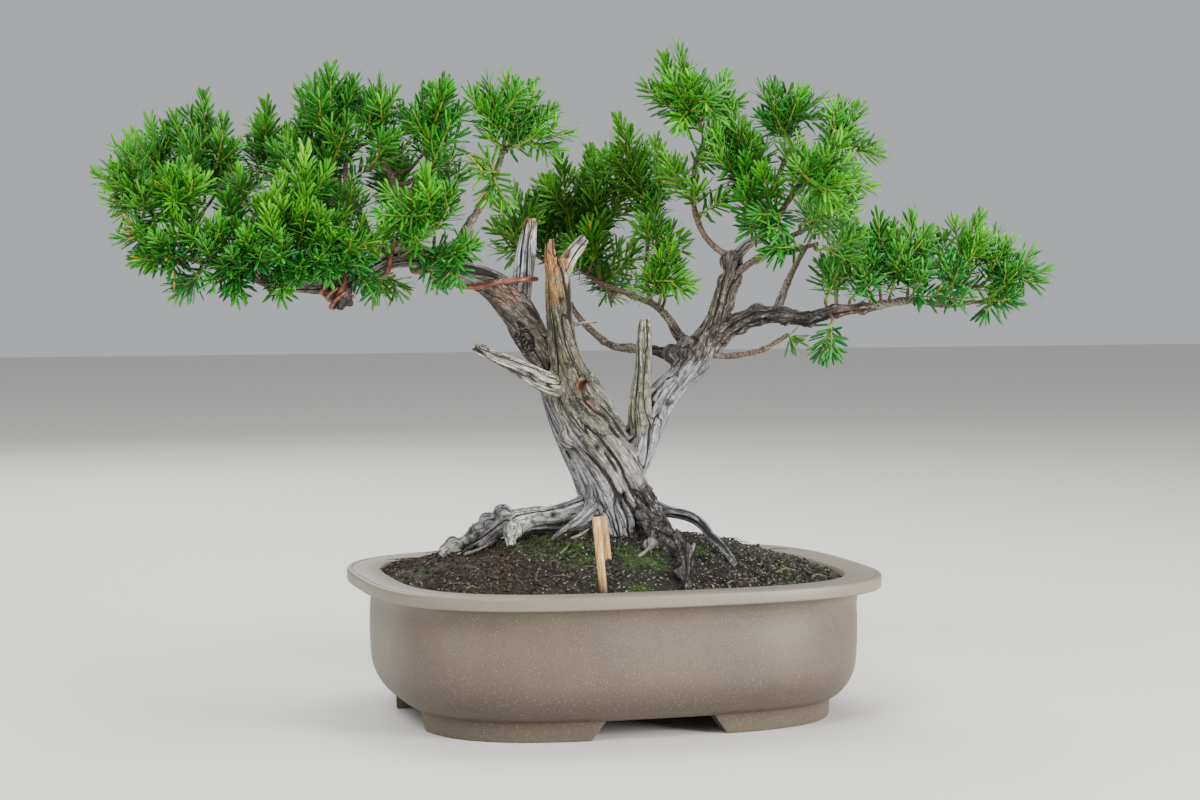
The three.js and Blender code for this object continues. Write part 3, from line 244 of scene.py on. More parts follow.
def as_seen(points):
    """The [across, up, back] of each point: the other way round."""
    x, y, z = np.moveaxis(np.asarray(points, float), -1, 0)
    x, y = x - POT_X, y - POT_Y
    back = x * TURN_SIN + y * TURN_COS
    k = (EYE_DISTANCE + back) / EYE_DISTANCE
    across = (x * TURN_COS - y * TURN_SIN + POT_SHIFT) / k
    return np.stack([across, EYE_HEIGHT + (z - EYE_HEIGHT) / k, back], -1)


def at_pixel(px, py):
    """Across and up of a pixel of the photograph, in the upright plane through the pot's middle."""
    x, v = (px - PICTURE_WIDTH / 2) / FOCAL_PIXELS, (PICTURE_HEIGHT / 2 - py) / FOCAL_PIXELS
    c, s = math.cos(EYE_PITCH), math.sin(EYE_PITCH)
    far = c + v * s
    return EYE_DISTANCE * x / far, EYE_HEIGHT + EYE_DISTANCE * (v * c - s) / far


def seen_pixel(px, py, back):
    """The point that lies behind a pixel's place in that plane by back millimetres."""
    return seen([*at_pixel(px, py), back])


def pixel_gaps(spots, px, py):
    """How far each seen spot lies from a pixel, across and up."""
    across, up = at_pixel(px, py)
    return spots[:, 0] - across, spots[:, 1] - up


def unit(v):
    return v / np.maximum(np.linalg.norm(v, axis=-1, keepdims=True), 1e-9)


def circle_of(sides):
    """Points round a circle of radius 1."""
    angle = np.arange(sides) / sides * 2 * math.pi
    return np.stack([np.cos(angle), np.sin(angle)], -1)


def smooth_step(low, high, v):
    t = np.clip((v - low) / (high - low), 0, 1)
    return t * t * (3 - 2 * t)


def noise(points, seed=0):
    """Smooth noise from -1 to 1, one value for each point, with bumps about 1 across."""
    points = np.asarray(points, float)
    cell = np.floor(points).astype(np.int64)
    inside = points - cell
    ease = inside ** 3 * (inside * (inside * 6 - 15) + 10)
    total = np.zeros(points.shape[:-1])
    for corner in product((0, 1), repeat=3):
        x, y, z = np.moveaxis(cell + np.array(corner), -1, 0)
        code = (x * 374761393 + y * 668265263 + z * 2147483647 + seed * 1274126177) & 0xFFFFFFFF
        code = ((code ^ (code >> 13)) * 1274126177) & 0xFFFFFFFF
        code = ((code ^ (code >> 16)) * 2246822519) & 0xFFFFFFFF
        value = ((code ^ (code >> 15)) & 0xFFFF) / 32767.5 - 1
        total += value * np.prod(np.where(corner, ease, 1 - ease), axis=-1)
    return total


def noise_along(place, second, third, seed):
    """Noise at each place along a line that the two other numbers choose."""
    return noise(np.column_stack([place, np.full(len(place), second), np.full(len(place), third)]), seed)


def spline(points, shares):
    """Points at shares 0 to 1 of a smooth curve through the given ones, evenly shared between them."""
    ends = np.vstack([2 * points[0] - points[1], points, 2 * points[-1] - points[-2]])
    place = np.asarray(shares, float) * (len(points) - 1)
    i = np.clip(place.astype(int), 0, len(points) - 2)
    w = (place - i)[:, None]
    a, b, c, d = ends[i], ends[i + 1], ends[i + 2], ends[i + 3]
    ab, bc, cd = (np.linalg.norm(q - p, axis=1)[:, None] ** 0.5 for p, q in ((a, b), (b, c), (c, d)))
    start = ((b - a) / ab - (c - a) / (ab + bc) + (c - b) / bc) * bc
    end = ((c - b) / bc - (d - b) / (bc + cd) + (d - c) / cd) * bc
    return b + w * (start + w * (-3 * b + 3 * c - 2 * start - end + w * (2 * b - 2 * c + start + end)))


def bezier(controls, shares):
    """Points at shares 0 to 1 of the curve that the control points draw."""
    points = [np.asarray(c, float)[None] for c in controls]
    t = np.asarray(shares, float)[:, None]
    while len(points) > 1:
        points = [p * (1 - t) + q * t for p, q in zip(points, points[1:])]
    return points[0]


def length_of(points):
    return np.linalg.norm(np.diff(points, axis=0), axis=1).sum()


def frames_along(points):
    """Direction of the line at each point, and a side that turns as little as the line lets it."""
    along = unit(np.gradient(points, axis=0))
    side = np.zeros_like(along)
    last = np.array([1.0, 0, 0]) if abs(along[0][0]) < 0.8 else np.array([0, 1.0, 0])
    for i, way in enumerate(along):
        last = last - way * last.dot(way)
        last = last / np.linalg.norm(last)
        side[i] = last
    return along, side, np.cross(along, side)


# Meshes

class Shape:
    """Points, faces and one value a point for each attribute, gathered before they become a mesh."""

    def __init__(self):
        self.points, self.faces, self.values, self.count = [], {}, {}, 0

    def add(self, points, faces, **values):
        points = np.asarray(points, float).reshape(-1, 3)
        for face in faces:
            face = np.asarray(face)
            self.faces.setdefault(face.shape[1], []).append(face + self.count)
        for key, value in values.items():
            self.values.setdefault(key, []).append(np.broadcast_to(np.asarray(value, float), len(points)))
        self.points.append(points)
        self.count += len(points)

    def tube(self, points, radii, sides, **values):
        """A round tube along a line, closed at both ends; radii may differ round the ring too."""
        _, side, over = frames_along(points)
        circle = circle_of(sides)
        ring = side[:, None] * circle[None, :, :1] + over[:, None] * circle[None, :, 1:]
        radii = np.asarray(radii, float)
        radii = radii[:, None] if radii.ndim == 1 else radii
        rings = points[:, None] + ring * np.broadcast_to(radii, (len(points), sides))[..., None]
        self.loft(rings, points[0], points[-1], **values)

    def loft(self, rings, low, high, **values):
        """Rings of points joined in order, with a point that closes each end."""
        count, sides = rings.shape[:2]
        k = (np.arange(count - 1) * sides)[:, None]
        j = np.arange(sides)[None]
        n = (j + 1) % sides
        walls = np.stack([k + j, k + n, k + sides + n, k + sides + j], -1).reshape(-1, 4)
        last = (count - 1) * sides
        j, n = j[0], n[0]
        foot = np.stack([np.full(sides, count * sides), n, j], -1)
        head = np.stack([np.full(sides, count * sides + 1), last + j, last + n], -1)
        spread = {}
        for key, value in values.items():
            value = np.asarray(value, float)
            if value.ndim:
                value = np.concatenate([np.repeat(value, sides), [value[0], value[-1]]])
            spread[key] = value
        points = np.vstack([rings.reshape(-1, 3), low, high])
        self.add(points, [walls, np.vstack([foot, head])], **spread)

    def build(self, name):
        points = np.vstack(self.points) * MM
        faces = [np.vstack(group) for group in self.faces.values()]
        corners = np.concatenate([group.ravel() for group in faces])
        sizes = np.concatenate([np.full(len(group), group.shape[1]) for group in faces])
        mesh = bpy.data.meshes.new(name)
        mesh.vertices.add(len(points))
        mesh.vertices.foreach_set("co", points.ravel())
        mesh.loops.add(len(corners))
        mesh.loops.foreach_set("vertex_index", corners)
        mesh.polygons.add(len(sizes))
        mesh.polygons.foreach_set("loop_start", np.concatenate([[0], np.cumsum(sizes)[:-1]]))
        mesh.update(calc_edges=True)
        mesh.validate()
        for key, value in self.values.items():
            store(mesh, key, np.concatenate(value))
        mesh.polygons.foreach_set("use_smooth", np.ones(len(mesh.polygons), bool))
        piece = bpy.data.objects.new(name, mesh)
        bpy.context.scene.collection.objects.link(piece)
        return piece


def points_of(mesh, what="co"):
    rows = mesh.vertices if what == "co" else mesh.vertex_normals
    spots = np.zeros(len(rows) * 3, np.float32)
    rows.foreach_get("co" if what == "co" else "vector", spots)
    return spots.reshape(-1, 3).astype(float)


def store(mesh, key, value):
    value = np.asarray(value, float)
    kind, field = ("FLOAT", "value") if value.ndim == 1 else ("FLOAT_VECTOR", "vector")
    mesh.attributes.new(key, kind, "POINT").data.foreach_set(field, value.ravel())


def pick(piece):
    bpy.ops.object.select_all(action="DESELECT")
    piece.select_set(True)
    bpy.context.view_layer.objects.active = piece


def modify(piece, kind, **settings):
    """Adds a modifier with its settings and applies it."""
    pick(piece)
    change = piece.modifiers.new(kind.lower(), kind)
    for key, value in settings.items():
        setattr(change, key, value)
    bpy.ops.object.modifier_apply(modifier=change.name)


def new_piece(operator, **settings):
    """Adds a primitive with nothing else selected, and gives its object back."""
    bpy.ops.object.select_all(action="DESELECT")
    operator(**settings)
    return bpy.context.active_object


def finish_piece(piece, material, slot, *nodes):
    piece.data.materials.clear()
    piece.data.materials.append(material)
    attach(piece, "root")
    if nodes:
        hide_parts(*nodes)


# Materials

def linear(text):
    """An sRGB hex colour as the linear one that shaders take."""
    parts = [int(text[i:i + 2], 16) / 255 for i in (1, 3, 5)]
    return [p / 12.92 if p <= 0.04045 else ((p + 0.055) / 1.055) ** 2.4 for p in parts] + [1]


def add(tree, kind, inputs, out=0, **settings):
    """Adds a node and gives an output of it. An input is a value, a hex colour or another node's output."""
    node = tree.nodes.new("ShaderNode" + kind)
    for key, value in settings.items():
        setattr(node, key, value)
    for key, value in inputs.items():
        if isinstance(value, bpy.types.NodeSocket):
            tree.links.new(value, node.inputs[key])
        else:
            node.inputs[key].default_value = linear(value) if isinstance(value, str) else value
    return node.outputs[out]


def finish_of(name, **constants):
    """A new material and its node tree, with the shader's constant sockets set."""
    material = bpy.data.materials.new(name)
    material.use_nodes = True
    shader = material.node_tree.nodes["Principled BSDF"]
    for key, value in constants.items():
        socket = key.replace("_", " ").title().replace("Ior", "IOR")
        shader.inputs[socket].default_value = linear(value) if isinstance(value, str) else value
    return material, material.node_tree


CRACKS = ("cleft", "split", "cross", "gape", "hollow")
LOOK_NAMES = ("dead", "torn", "green", "lichen", "dark", "lilac", "red", "brown", "steel")
SOFT = {"interpolation_type": "SMOOTHSTEP"}
COLOURS = {"data_type": "RGBA"}
A, B, BLENDED = 6, 7, 2  # the colour sockets of a Mix node
RANGE = ("Value", "From Min", "From Max", "To Min", "To Max")


def coated(material, tone, coats, matt=None, relief=None):
    """Lays each coat over the tone by its share. Roughness follows matt, a pattern's values and what they
    turn to, and relief is a height and its depth in millimetres."""
    tree = material.node_tree
    shader = tree.nodes["Principled BSDF"].inputs
    for share, coat in coats:
        tone = add(tree, "Mix", {0: share, A: tone, B: coat}, BLENDED, **COLOURS)
    tree.links.new(tone, shader["Base Color"])
    if matt:
        tree.links.new(add(tree, "MapRange", dict(zip(RANGE, matt))), shader["Roughness"])
    if relief:
        bump = add(tree, "Bump", {"Height": relief[0], "Strength": 1, "Distance": relief[1] * MM})
        tree.links.new(bump, shader["Normal"])
    return material


def bark_finish():
    # Old yew: grey-brown fibrous plates, black in the cracks and hollows, partly painted shade there,
    # bleached and torn wood where limbs died.
    material, tree = finish_of("weathered_yew_wood", specular_ior_level=0.3)
    look = {key: add(tree, "Attribute", {}, 2, attribute_name=key) for key in LOOK_NAMES + CRACKS}
    grain = add(tree, "Attribute", {}, 1, attribute_name="grain")  # in millimetres, Z along the fibres
    patterns = []
    # The width and length of each pattern's marks in millimetres, then its detail and roughness.
    for width, length, detail, rough in (
            (7, 35, 4, 0.6), (0.9, 14, 3, 0.6), (2.3, 24, 3, 0.6), (1.9, 5, 4, 0.65)):
        place = add(tree, "Mapping", {"Vector": grain, "Scale": (1 / width, 1 / width, 1 / length)})
        values = {"Vector": place, "Scale": 1, "Detail": detail, "Roughness": rough}
        patterns.append(add(tree, "TexNoise", values))
    plates, fibres, streaks, scurf = patterns
    place = add(tree, "TexCoord", {}, 3)
    mottle = add(tree, "TexNoise", {"Vector": place, "Scale": 1000 / 3.5, "Detail": 4, "Roughness": 0.6})
    wide, strands, spots, shade, flakes, dark_scurf, pale_scurf, slits = (
        add(tree, "MapRange", dict(zip(RANGE, values)), **SOFT) for values in (
            (plates, 0.33, 0.66), (fibres, 0.35, 0.62), (mottle, 0.4, 0.6), (streaks, 0.36, 0.64),
            (mottle, 0.4, 0.5), (scurf, 0.47, 0.36, 0, 0.62), (scurf, 0.55, 0.66, 0, 0.3),
            (fibres, 0.46, 0.3, 0, 0.7)))
    wide = add(tree, "Math", {0: wide, 1: 0.45}, operation="MULTIPLY")
    wide = add(tree, "Math", {0: shade, 1: 0.55, 2: wide}, operation="MULTIPLY_ADD")
    # The last of these mixes, near black, colours the dark look: darker bark, and painted shade where the
    # wood lies in shade.
    living, cool, russet, steel, bone, torn, algae, dark_bark_and_shade = (
        add(tree, "Mix", {0: share, A: deep, B: light}, BLENDED, **COLOURS) for share, deep, light in (
            (wide, "#322f2b", "#a09c95"), (wide, "#36363b", "#aeafb7"), (wide, "#251f19", "#685c4e"),
            (shade, "#565c69", "#dde1e8"), (shade, "#66635c", "#d0cbbe"), (strands, "#5f320e", "#bd8038"),
            (spots, "#2c2f1b", "#63653f"), (spots, "#110f0f", "#353130")))
    greenness = add(tree, "Math", {0: look["green"], 1: spots}, operation="MULTIPLY")
    crust = add(tree, "Math", {0: look["lichen"], 1: flakes}, operation="MULTIPLY")
    # Clefts, splits and cross breaks are lines where a stored field passes through nought.
    to_cleft, to_split, to_cross = (
        add(tree, "Math", {0: look[key]}, operation="ABSOLUTE") for key in ("cleft", "split", "cross"))
    gape = add(tree, "Math", {0: look["gape"], 1: 1.25}, operation="MULTIPLY")
    edge = add(tree, "Math", {0: to_cleft, 1: gape}, operation="DIVIDE")
    cleft, split, broken = (add(tree, "MapRange", dict(zip(RANGE, values)), **SOFT) for values in (
        (edge, 1.4, 0.5, 0, 0.95), (to_split, 0.45, 0.1, 0, 0.7), (to_cross, 0.05, 0.01, 0, 0.5)))
    whole = add(tree, "Math", {0: 1.0, 1: look["dead"]}, operation="SUBTRACT")
    # Cracks and hollows are painted near black: the darker wood inside them, and painted shade in these
    # recesses.
    crack = add(tree, "Math", {0: broken, 1: whole}, operation="MULTIPLY")
    for other in (cleft, split, look["hollow"]):
        crack = add(tree, "Math", {0: crack, 1: other}, operation="MAXIMUM")
    sunk = add(tree, "Math", {0: crack, 1: -1.6, 2: fibres}, operation="MULTIPLY_ADD")
    coats = [(look["lilac"], cool), (look["brown"], russet), (look["dead"], bone), (look["steel"], steel),
             (look["torn"], torn), (greenness, algae), (crust, "#ced6c4"), (look["dark"], dark_bark_and_shade),
             (look["red"], "#6e3a26"), (dark_scurf, "#26221f"), (pale_scurf, "#d3d0c8"), (slits, "#2a211b"),
             (crack, "#120d0a")]
    return coated(material, living, coats, (fibres, 0.2, 0.8, 0.95, 0.66), (sunk, 0.6))


def twig_finish():
    # Young yew twigs: smooth red-brown skin, grey on the older ones and green towards the shoots.
    material, tree = finish_of("young_yew_twig", specular_ior_level=0.35)
    thick, young = (add(tree, "Attribute", {}, 2, attribute_name=key) for key in ("thick", "young"))
    place = add(tree, "TexCoord", {}, 3)
    scales = add(tree, "TexNoise", {"Vector": place, "Scale": 1000 / 1.6, "Detail": 3, "Roughness": 0.6})
    patchy = add(tree, "MapRange", {"Value": scales, "From Min": 0.35, "From Max": 0.65}, **SOFT)
    grey = add(tree, "Mix", {0: patchy, A: "#3f382f", B: "#8b8172"}, BLENDED, **COLOURS)
    coats = [(patchy, "#6f5645"), (thick, grey), (young, "#5f6a2c")]
    return coated(material, "#2e221a", coats, (scales, 0.2, 0.8, 0.8, 0.55), (scales, 0.6))


def needle_finish():
    # Yew needles: waxy leather-like leaves, deep green above, paler below, yellow-green where they are new,
    # and painted shade in a darker olive on sprays further back.
    material, tree = finish_of("waxy_yew_needles", roughness=0.45, specular_ior_level=0.26, coat_weight=0.04,
                               coat_roughness=0.3)
    tone, old, fresh, cool, yellow, under, stalk = (
        add(tree, "Attribute", {}, 2, attribute_name=key)
        for key in ("tone", "old", "fresh", "cool", "yellow", "under", "stalk"))
    # shade_olive is the darker olive of the painted shade on sprays further back.
    shade_olive, new, blue = (
        add(tree, "Mix", {0: tone, A: deep, B: light}, BLENDED, **COLOURS)
        for deep, light in (("#103505", "#347f0c"), ("#2f7e06", "#70c80e"), ("#033a19", "#0d8e3c")))
    below = add(tree, "Math", {0: under, 1: 0.5}, operation="MULTIPLY")
    stem = add(tree, "Math", {0: stalk, 1: 0.8}, operation="MULTIPLY")
    return coated(material, "#053c09", [(tone, "#15920f"), (cool, blue), (old, shade_olive), (fresh, new),
                                        (yellow, "#c79a34"), (below, "#589c32"), (stem, "#7d9130")])


def clay_finish():
    # Unglazed stoneware: matt taupe clay, wiped smooth, with pale grog specks, and painted shade that darkens
    # the lower wall and, less, the feet.
    material, tree = finish_of("unglazed_stoneware", specular_ior_level=0.45)
    place = add(tree, "TexCoord", {}, 3)
    height = add(tree, "SeparateXYZ", {"Vector": place}, 2)
    clouds = add(tree, "TexNoise", {"Vector": place, "Scale": 1000 / 60, "Detail": 4, "Roughness": 0.55})
    grain = add(tree, "TexNoise", {"Vector": place, "Scale": 1000 / 1.1, "Detail": 3, "Roughness": 0.55})
    grog, dust, holes = (
        add(tree, "TexVoronoi", {"Vector": place, "Scale": 1000 / size}) for size in (2.1, 1.25, 4.7))
    cloudy, low, less_shade_on_feet, specks, some, top, fine_specks, pits = (
        add(tree, "MapRange", dict(zip(RANGE, values)), **SOFT) for values in (
            (clouds, 0.3, 0.7), (height, 0.065, 0.018, 0, 0.75), (height, 0.008, 0.015, 0.45),
            (grog, 0.17, 0.08, 0, 0.55), (grain, 0.42, 0.6), (height, 0.1, 0.1035, 0, 0.4),
            (dust, 0.2, 0.1, 0, 0.4), (holes, 0.1, 0.04, 0, 0.5)))
    # low is painted shade: a dark brown laid on the lower wall, weaker on the feet.
    low = add(tree, "Math", {0: low, 1: less_shade_on_feet}, operation="MULTIPLY")
    pale = add(tree, "Math", {0: specks, 1: some}, operation="MULTIPLY")
    coats = [(cloudy, "#615645"), (low, "#41372d"), (pale, "#cfc6b4"), (top, "#918a7d"),
             (fine_specks, "#c9bea9"), (pits, "#4f4336")]
    return coated(material, "#574d40", coats, (grain, 0.3, 0.7, 0.37, 0.5), (grain, 0.12))


def soil_finish():
    # Potting mix: black bark crumbs, red-brown fibre, pale grit, moss.
    material, tree = finish_of("bark_potting_mix", specular_ior_level=0.25)
    warm, pale, moss, seed = (
        add(tree, "Attribute", {}, 2, attribute_name=key) for key in ("warm", "pale", "moss", "seed"))
    place = add(tree, "TexCoord", {}, 3)
    crumbs = add(tree, "TexNoise", {"Vector": place, "Scale": 1000 / 3.2, "Detail": 5, "Roughness": 0.7})
    fine = add(tree, "TexNoise", {"Vector": place, "Scale": 1000 / 0.9, "Detail": 3, "Roughness": 0.55})
    cells = add(tree, "TexVoronoi", {"Vector": place, "Scale": 1000 / 1.3}, 1)
    chance = add(tree, "SeparateXYZ", {"Vector": cells}, 0)
    lumps, grit, light_bits = (add(tree, "MapRange", dict(zip(RANGE, values)), **SOFT) for values in (
        (crumbs, 0.35, 0.65), (fine, 0.35, 0.65), (chance, 0.9, 1.0, 0, 0.6)))
    bits = add(tree, "MapRange", {"Value": chance, "From Min": 0.3, "From Max": 1.0})
    mixed = add(tree, "Math", {0: lumps, 1: 0.5}, operation="MULTIPLY")
    mixed = add(tree, "Math", {0: bits, 1: 0.5, 2: mixed}, operation="MULTIPLY_ADD")
    fibre, stone, green = (
        add(tree, "Mix", {0: grit, A: deep, B: light}, BLENDED, **COLOURS)
        for deep, light in (("#1e140f", "#473326"), ("#716b5d", "#c4bdae"), ("#1a270b", "#4a7020")))
    coats = [(mixed, "#302c26"), (light_bits, "#a39c8c"), (warm, fibre), (pale, stone), (moss, green),
             (seed, "#c9702a")]
    rough = add(tree, "Math", {0: chance, 1: 0.8, 2: fine}, operation="MULTIPLY_ADD")
    return coated(material, "#070606", coats, (fine, 0.3, 0.7, 0.96, 0.7), (rough, 0.9))


def wire_finish():
    # Annealed copper-coloured training wire, gone red-brown and dull outdoors.
    material, tree = finish_of("weathered_copper_wire", metallic=0.3)
    place = add(tree, "TexCoord", {}, 3)
    stains = add(tree, "TexNoise", {"Vector": place, "Scale": 1000 / 6, "Detail": 4, "Roughness": 0.6})
    patchy = add(tree, "MapRange", {"Value": stains, "From Min": 0.35, "From Max": 0.65}, **SOFT)
    return coated(material, "#5f372d", [(patchy, "#935b4a")], (stains, 0.35, 0.65, 0.46, 0.3))


def bamboo_finish():
    # Split bamboo: pale straw with fine fibres along its length, stained dark near the soil, with painted
    # shade all over the back stick.
    material, tree = finish_of("split_bamboo", specular_ior_level=0.4)
    soiled = add(tree, "Attribute", {}, 2, attribute_name="soiled")
    scale = (1000 / 0.7, 1000 / 0.7, 1000 / 13)
    place = add(tree, "Mapping", {"Vector": add(tree, "TexCoord", {}, 3), "Scale": scale})
    fibres = add(tree, "TexNoise", {"Vector": place, "Scale": 1, "Detail": 3, "Roughness": 0.55})
    strands = add(tree, "MapRange", {"Value": fibres, "From Min": 0.35, "From Max": 0.65}, **SOFT)
    coats = [(strands, "#d3b077"), (soiled, "#4a3523")]
    return coated(material, "#9c7038", coats, (fibres, 0.3, 0.7, 0.62, 0.45), (fibres, 0.15))


def mesh_finish():
    # Drainage mesh: moulded black polyethylene, faintly glossy.
    return finish_of("black_polyethylene", base_color="#1b1b1b", roughness=0.5)[0]


def floor_finish():
    # Seamless matt paper.
    return finish_of("pale_paper", base_color="#d9d7d2", roughness=0.9)[0]


# Wood

def limb_line(rows, step):
    """Points every step millimetres along a limb, with their radii and how far along it they are."""
    spots = seen(rows)
    radii = np.array([row[3] for row in rows], float)
    count = max(4, int(length_of(spots) / step))
    line = spline(np.column_stack([spots, radii]), np.linspace(0, 1, count + 1))
    lengths = np.concatenate([[0], np.cumsum(np.linalg.norm(np.diff(line[:, :3], axis=0), axis=1))])
    return line[:, :3], line[:, 3], lengths


THICK = 3.0  # limbs down to this radius are part of the sculpted wood, and finer ones are plain tubes
VOXEL = 1.34  # how fine the wood's skin is before it is sculpted
ROUGH_SIDES = 28
# How far the splintered end of a dead limb reaches back.
SPLINTERED = {"snag_left": 6, "snag_right": 5, "snag": 3, "left_jin": 4, "low_jin": 5, "middle_snag": 6}
# Burls and swellings: [pixel across, pixel down, radius], on the front of the wood.
BURLS = [[446, 551, 6], [453, 545, 6.5], [462, 552, 6], [470, 540, 7], [476, 531, 6.5], [486, 542, 6.5],
         [488, 521, 7], [502, 512, 7], [520, 522, 9], [515, 530, 7.5], [600, 500, 12], [568, 440, 9],
         [646, 420, 9], [703, 343, 12], [690, 350, 11], [672, 354, 8.5], [718, 330, 10.5], [724, 300, 9.5],
         [728, 282, 8.8], [731, 262, 9.5], [738, 324, 8.6], [758, 315, 8.8], [784, 316, 8.2],
         [808, 319, 7.6], [836, 311, 6.8], [862, 308, 5.6], [346, 288, 5], [334, 293, 5], [350, 303, 4],
         [583, 380, 9], [622, 520, 12], [656, 530, 8], [664, 545, 7], [676, 538, 6], [668, 556, 6],
         [684, 562, 6], [650, 545, 6], [672, 548, 7.5], [686, 552, 6], [681, 574, 6.5], [686, 586, 5.5]]
# Hollows: [pixel across, pixel down, radius, depth, height of the lip round it].
HOLLOWS = [[462, 549, 4, 6, 0.8], [583, 387, 5, 6, 1.5], [497, 352, 3.5, 3, 0.5], [530, 376, 4, 4, 0.5],
           [566, 255, 3, 4, 0.4], [645, 352, 3, 3, 0.4], [597, 447, 4, 4, 1], [622, 500, 5, 4, 1.2],
           [553, 515, 3, 2.5, 0.8], [668, 405, 3.5, 2.5, 1], [470, 543, 2.5, 2.5, 0.6],
           [562, 300, 2.5, 4, 0.3]]


def rough_wood():
    """All thick limbs as closed tubes, with splintered ends, melted into one skin."""
    shape = Shape()
    circle = circle_of(ROUGH_SIDES)
    for order, (name, rows) in enumerate(LIMBS.items()):
        line, radii, lengths = limb_line(rows, 2.5)
        if name in BEARING and radii[0] < THICK + 0.6:
            continue
        if name in BEARING and (radii < THICK).any():
            keep = max(int(np.argmax(radii < THICK)), 4)
            line, radii, lengths = line[:keep], radii[:keep], lengths[:keep]
        along, side, over = frames_along(line)
        size = (len(line), ROUGH_SIDES)
        spot = np.concatenate([np.broadcast_to(circle[None] * 1.5, (*size, 2)),
                               np.broadcast_to((lengths / 45)[:, None, None], (*size, 1))], -1)
        lumps = 1 + 0.13 * noise(spot + order * 7.3, 3)
        ring = side[:, None] * circle[None, :, :1] + over[:, None] * circle[None, :, 1:]
        rings = line[:, None] + ring * (radii[:, None] * lumps)[..., None]
        high = line[-1]
        if name in SPLINTERED:
            reach = SPLINTERED[name]
            teeth = noise(np.column_stack([circle * 2.1 + order, np.full(ROUGH_SIDES, 0.5)]), 11) * 0.5 + 0.5
            teeth = np.clip(teeth * 1.3 - 0.1, 0, 1)
            back = smooth_step(lengths[-1] - 1.6 * reach, lengths[-1], lengths) ** 1.4
            rings = rings - along[:, None] * (back[:, None] * teeth[None] * reach)[..., None]
            high = high - along[-1] * reach * 0.9
        shape.loft(rings, line[0], high)
    wood = shape.build("tree_wood_looks")
    surface = as_seen(points_of(wood.data) / MM)
    for px, py, radius in BURLS:
        near = np.hypot(*pixel_gaps(surface, px, py))
        front = surface[np.argmin(surface[:, 2] + 1e6 * (near > 7)), 2]
        new_piece(bpy.ops.mesh.primitive_ico_sphere_add, subdivisions=3, radius=radius * MM,
                  location=seen_pixel(px, py, front + radius * 0.9) * MM)
        wood.select_set(True)
        bpy.context.view_layer.objects.active = wood
        bpy.ops.object.join()
    modify(wood, "REMESH", mode="VOXEL", voxel_size=VOXEL * MM)
    modify(wood, "SMOOTH", factor=0.5, iterations=4)
    return wood


def nearest_limbs(points):
    """For each point its two nearest limbs: which, the gap to its bark, the way along, turn and radius."""
    lines = []
    for rows in LIMBS.values():
        line, radii, lengths = limb_line(rows, 3)
        lines.append(np.column_stack([line, radii, lengths, *frames_along(line)]))
    table = np.vstack(lines)
    starts = np.concatenate([[0], np.cumsum([len(line) for line in lines])])
    gaps = np.full((len(points), len(LIMBS)), np.inf)
    index = np.zeros((len(points), len(LIMBS)), int)
    for start in range(0, len(points), 8000):
        part = points[start:start + 8000]
        away = np.linalg.norm(part[:, None] - table[None, :, :3], axis=2) - table[None, :, 3]
        for order in range(len(LIMBS)):
            own = away[:, starts[order]:starts[order + 1]]
            best = own.argmin(1)
            gaps[start:start + 8000, order] = own[np.arange(len(part)), best]
            index[start:start + 8000, order] = best + starts[order]
    nearest = gaps.argsort(1)
    rows = np.arange(len(points))
    found = []
    for limb in (nearest[:, 0], nearest[:, 1]):
        entry = table[index[rows, limb]]
        arm = points - entry[:, :3]
        along, x, y = ((arm * entry[:, k:k + 3]).sum(1) for k in (5, 8, 11))
        found.append((limb, gaps[rows, limb], entry[:, 4] + along, np.arctan2(y, x), entry[:, 3]))
    return found


GRAIN_TWIST = 0.011  # radians a millimetre: the grain winds round the limbs


def grain_of(found):
    """The grain's own place of each point: round the limb, winding as it goes, and along it."""
    _, _, along, angle, radius = found
    turned = angle + GRAIN_TWIST * along
    return np.column_stack([np.cos(turned) * (radius + 2), np.sin(turned) * (radius + 2), along])


# What each limb looks like, from 0 to 1: dead is bleached, torn is orange inner wood, green is algae, dark is
# darker bark and painted shade.
LOOKS = {
    "trunk": {"lilac": 0.15}, "trunk_vein": {"lilac": 0.6},
    "snag": {"dead": 0.05, "green": 0.9, "brown": 0.8}, "snag_left": {"dead": 0.5, "torn": 0.85},
    "snag_right": {"dead": 1}, "snag_twig": {"dead": 0.6, "green": 0.5}, "low_jin": {"dead": 1},
    "left_jin": {"dead": 0.9}, "middle_snag": {"dead": 0.25, "green": 0.75}, "right_limb": {"lilac": 0.7},
    "right_up": {"brown": 0.85, "gnarled": 0.9}, "left_limb": {"lilac": 0.1, "brown": 0.75},
    "right_arm": {"brown": 0.9, "gnarled": 0.8, "dark": 0.45},
    "back_left": {"brown": 0.9, "gnarled": 0.9, "dark": 0.35}, "back_up": {"brown": 0.9, "gnarled": 0.7},
    "left_knob": {"gnarled": 1, "brown": 0.8, "dark": 0.75},
    "root_left": {"lilac": 0.6, "dead": 0.1, "gnarled": 0.6, "dark": 0.15},
    "root_left_keel": {"lilac": 0.3, "dark": 0.3}, "root_right": {"dark": 0.9, "gnarled": 1},
    "root_left_fork": {"dark": 0.2, "gnarled": 0.6}, "root_left_back": {"dark": 0.6, "gnarled": 0.8},
    "root_far": {"lilac": 0.9, "dark": 0.3, "gnarled": 0.3}, "root_small": {"dark": 0.4},
    "root_front": {"lilac": 0.3}, "root_fork": {"dark": 0.2}, "root_rear": {"dark": 0.25},
    "root_rear_left": {"dark": 0.2},
}
# Eye knots, round which the fibres run: [pixel across, pixel down, radius].
KNOTS = [[524, 342, 8], [656, 520, 8], [583, 385, 6]]
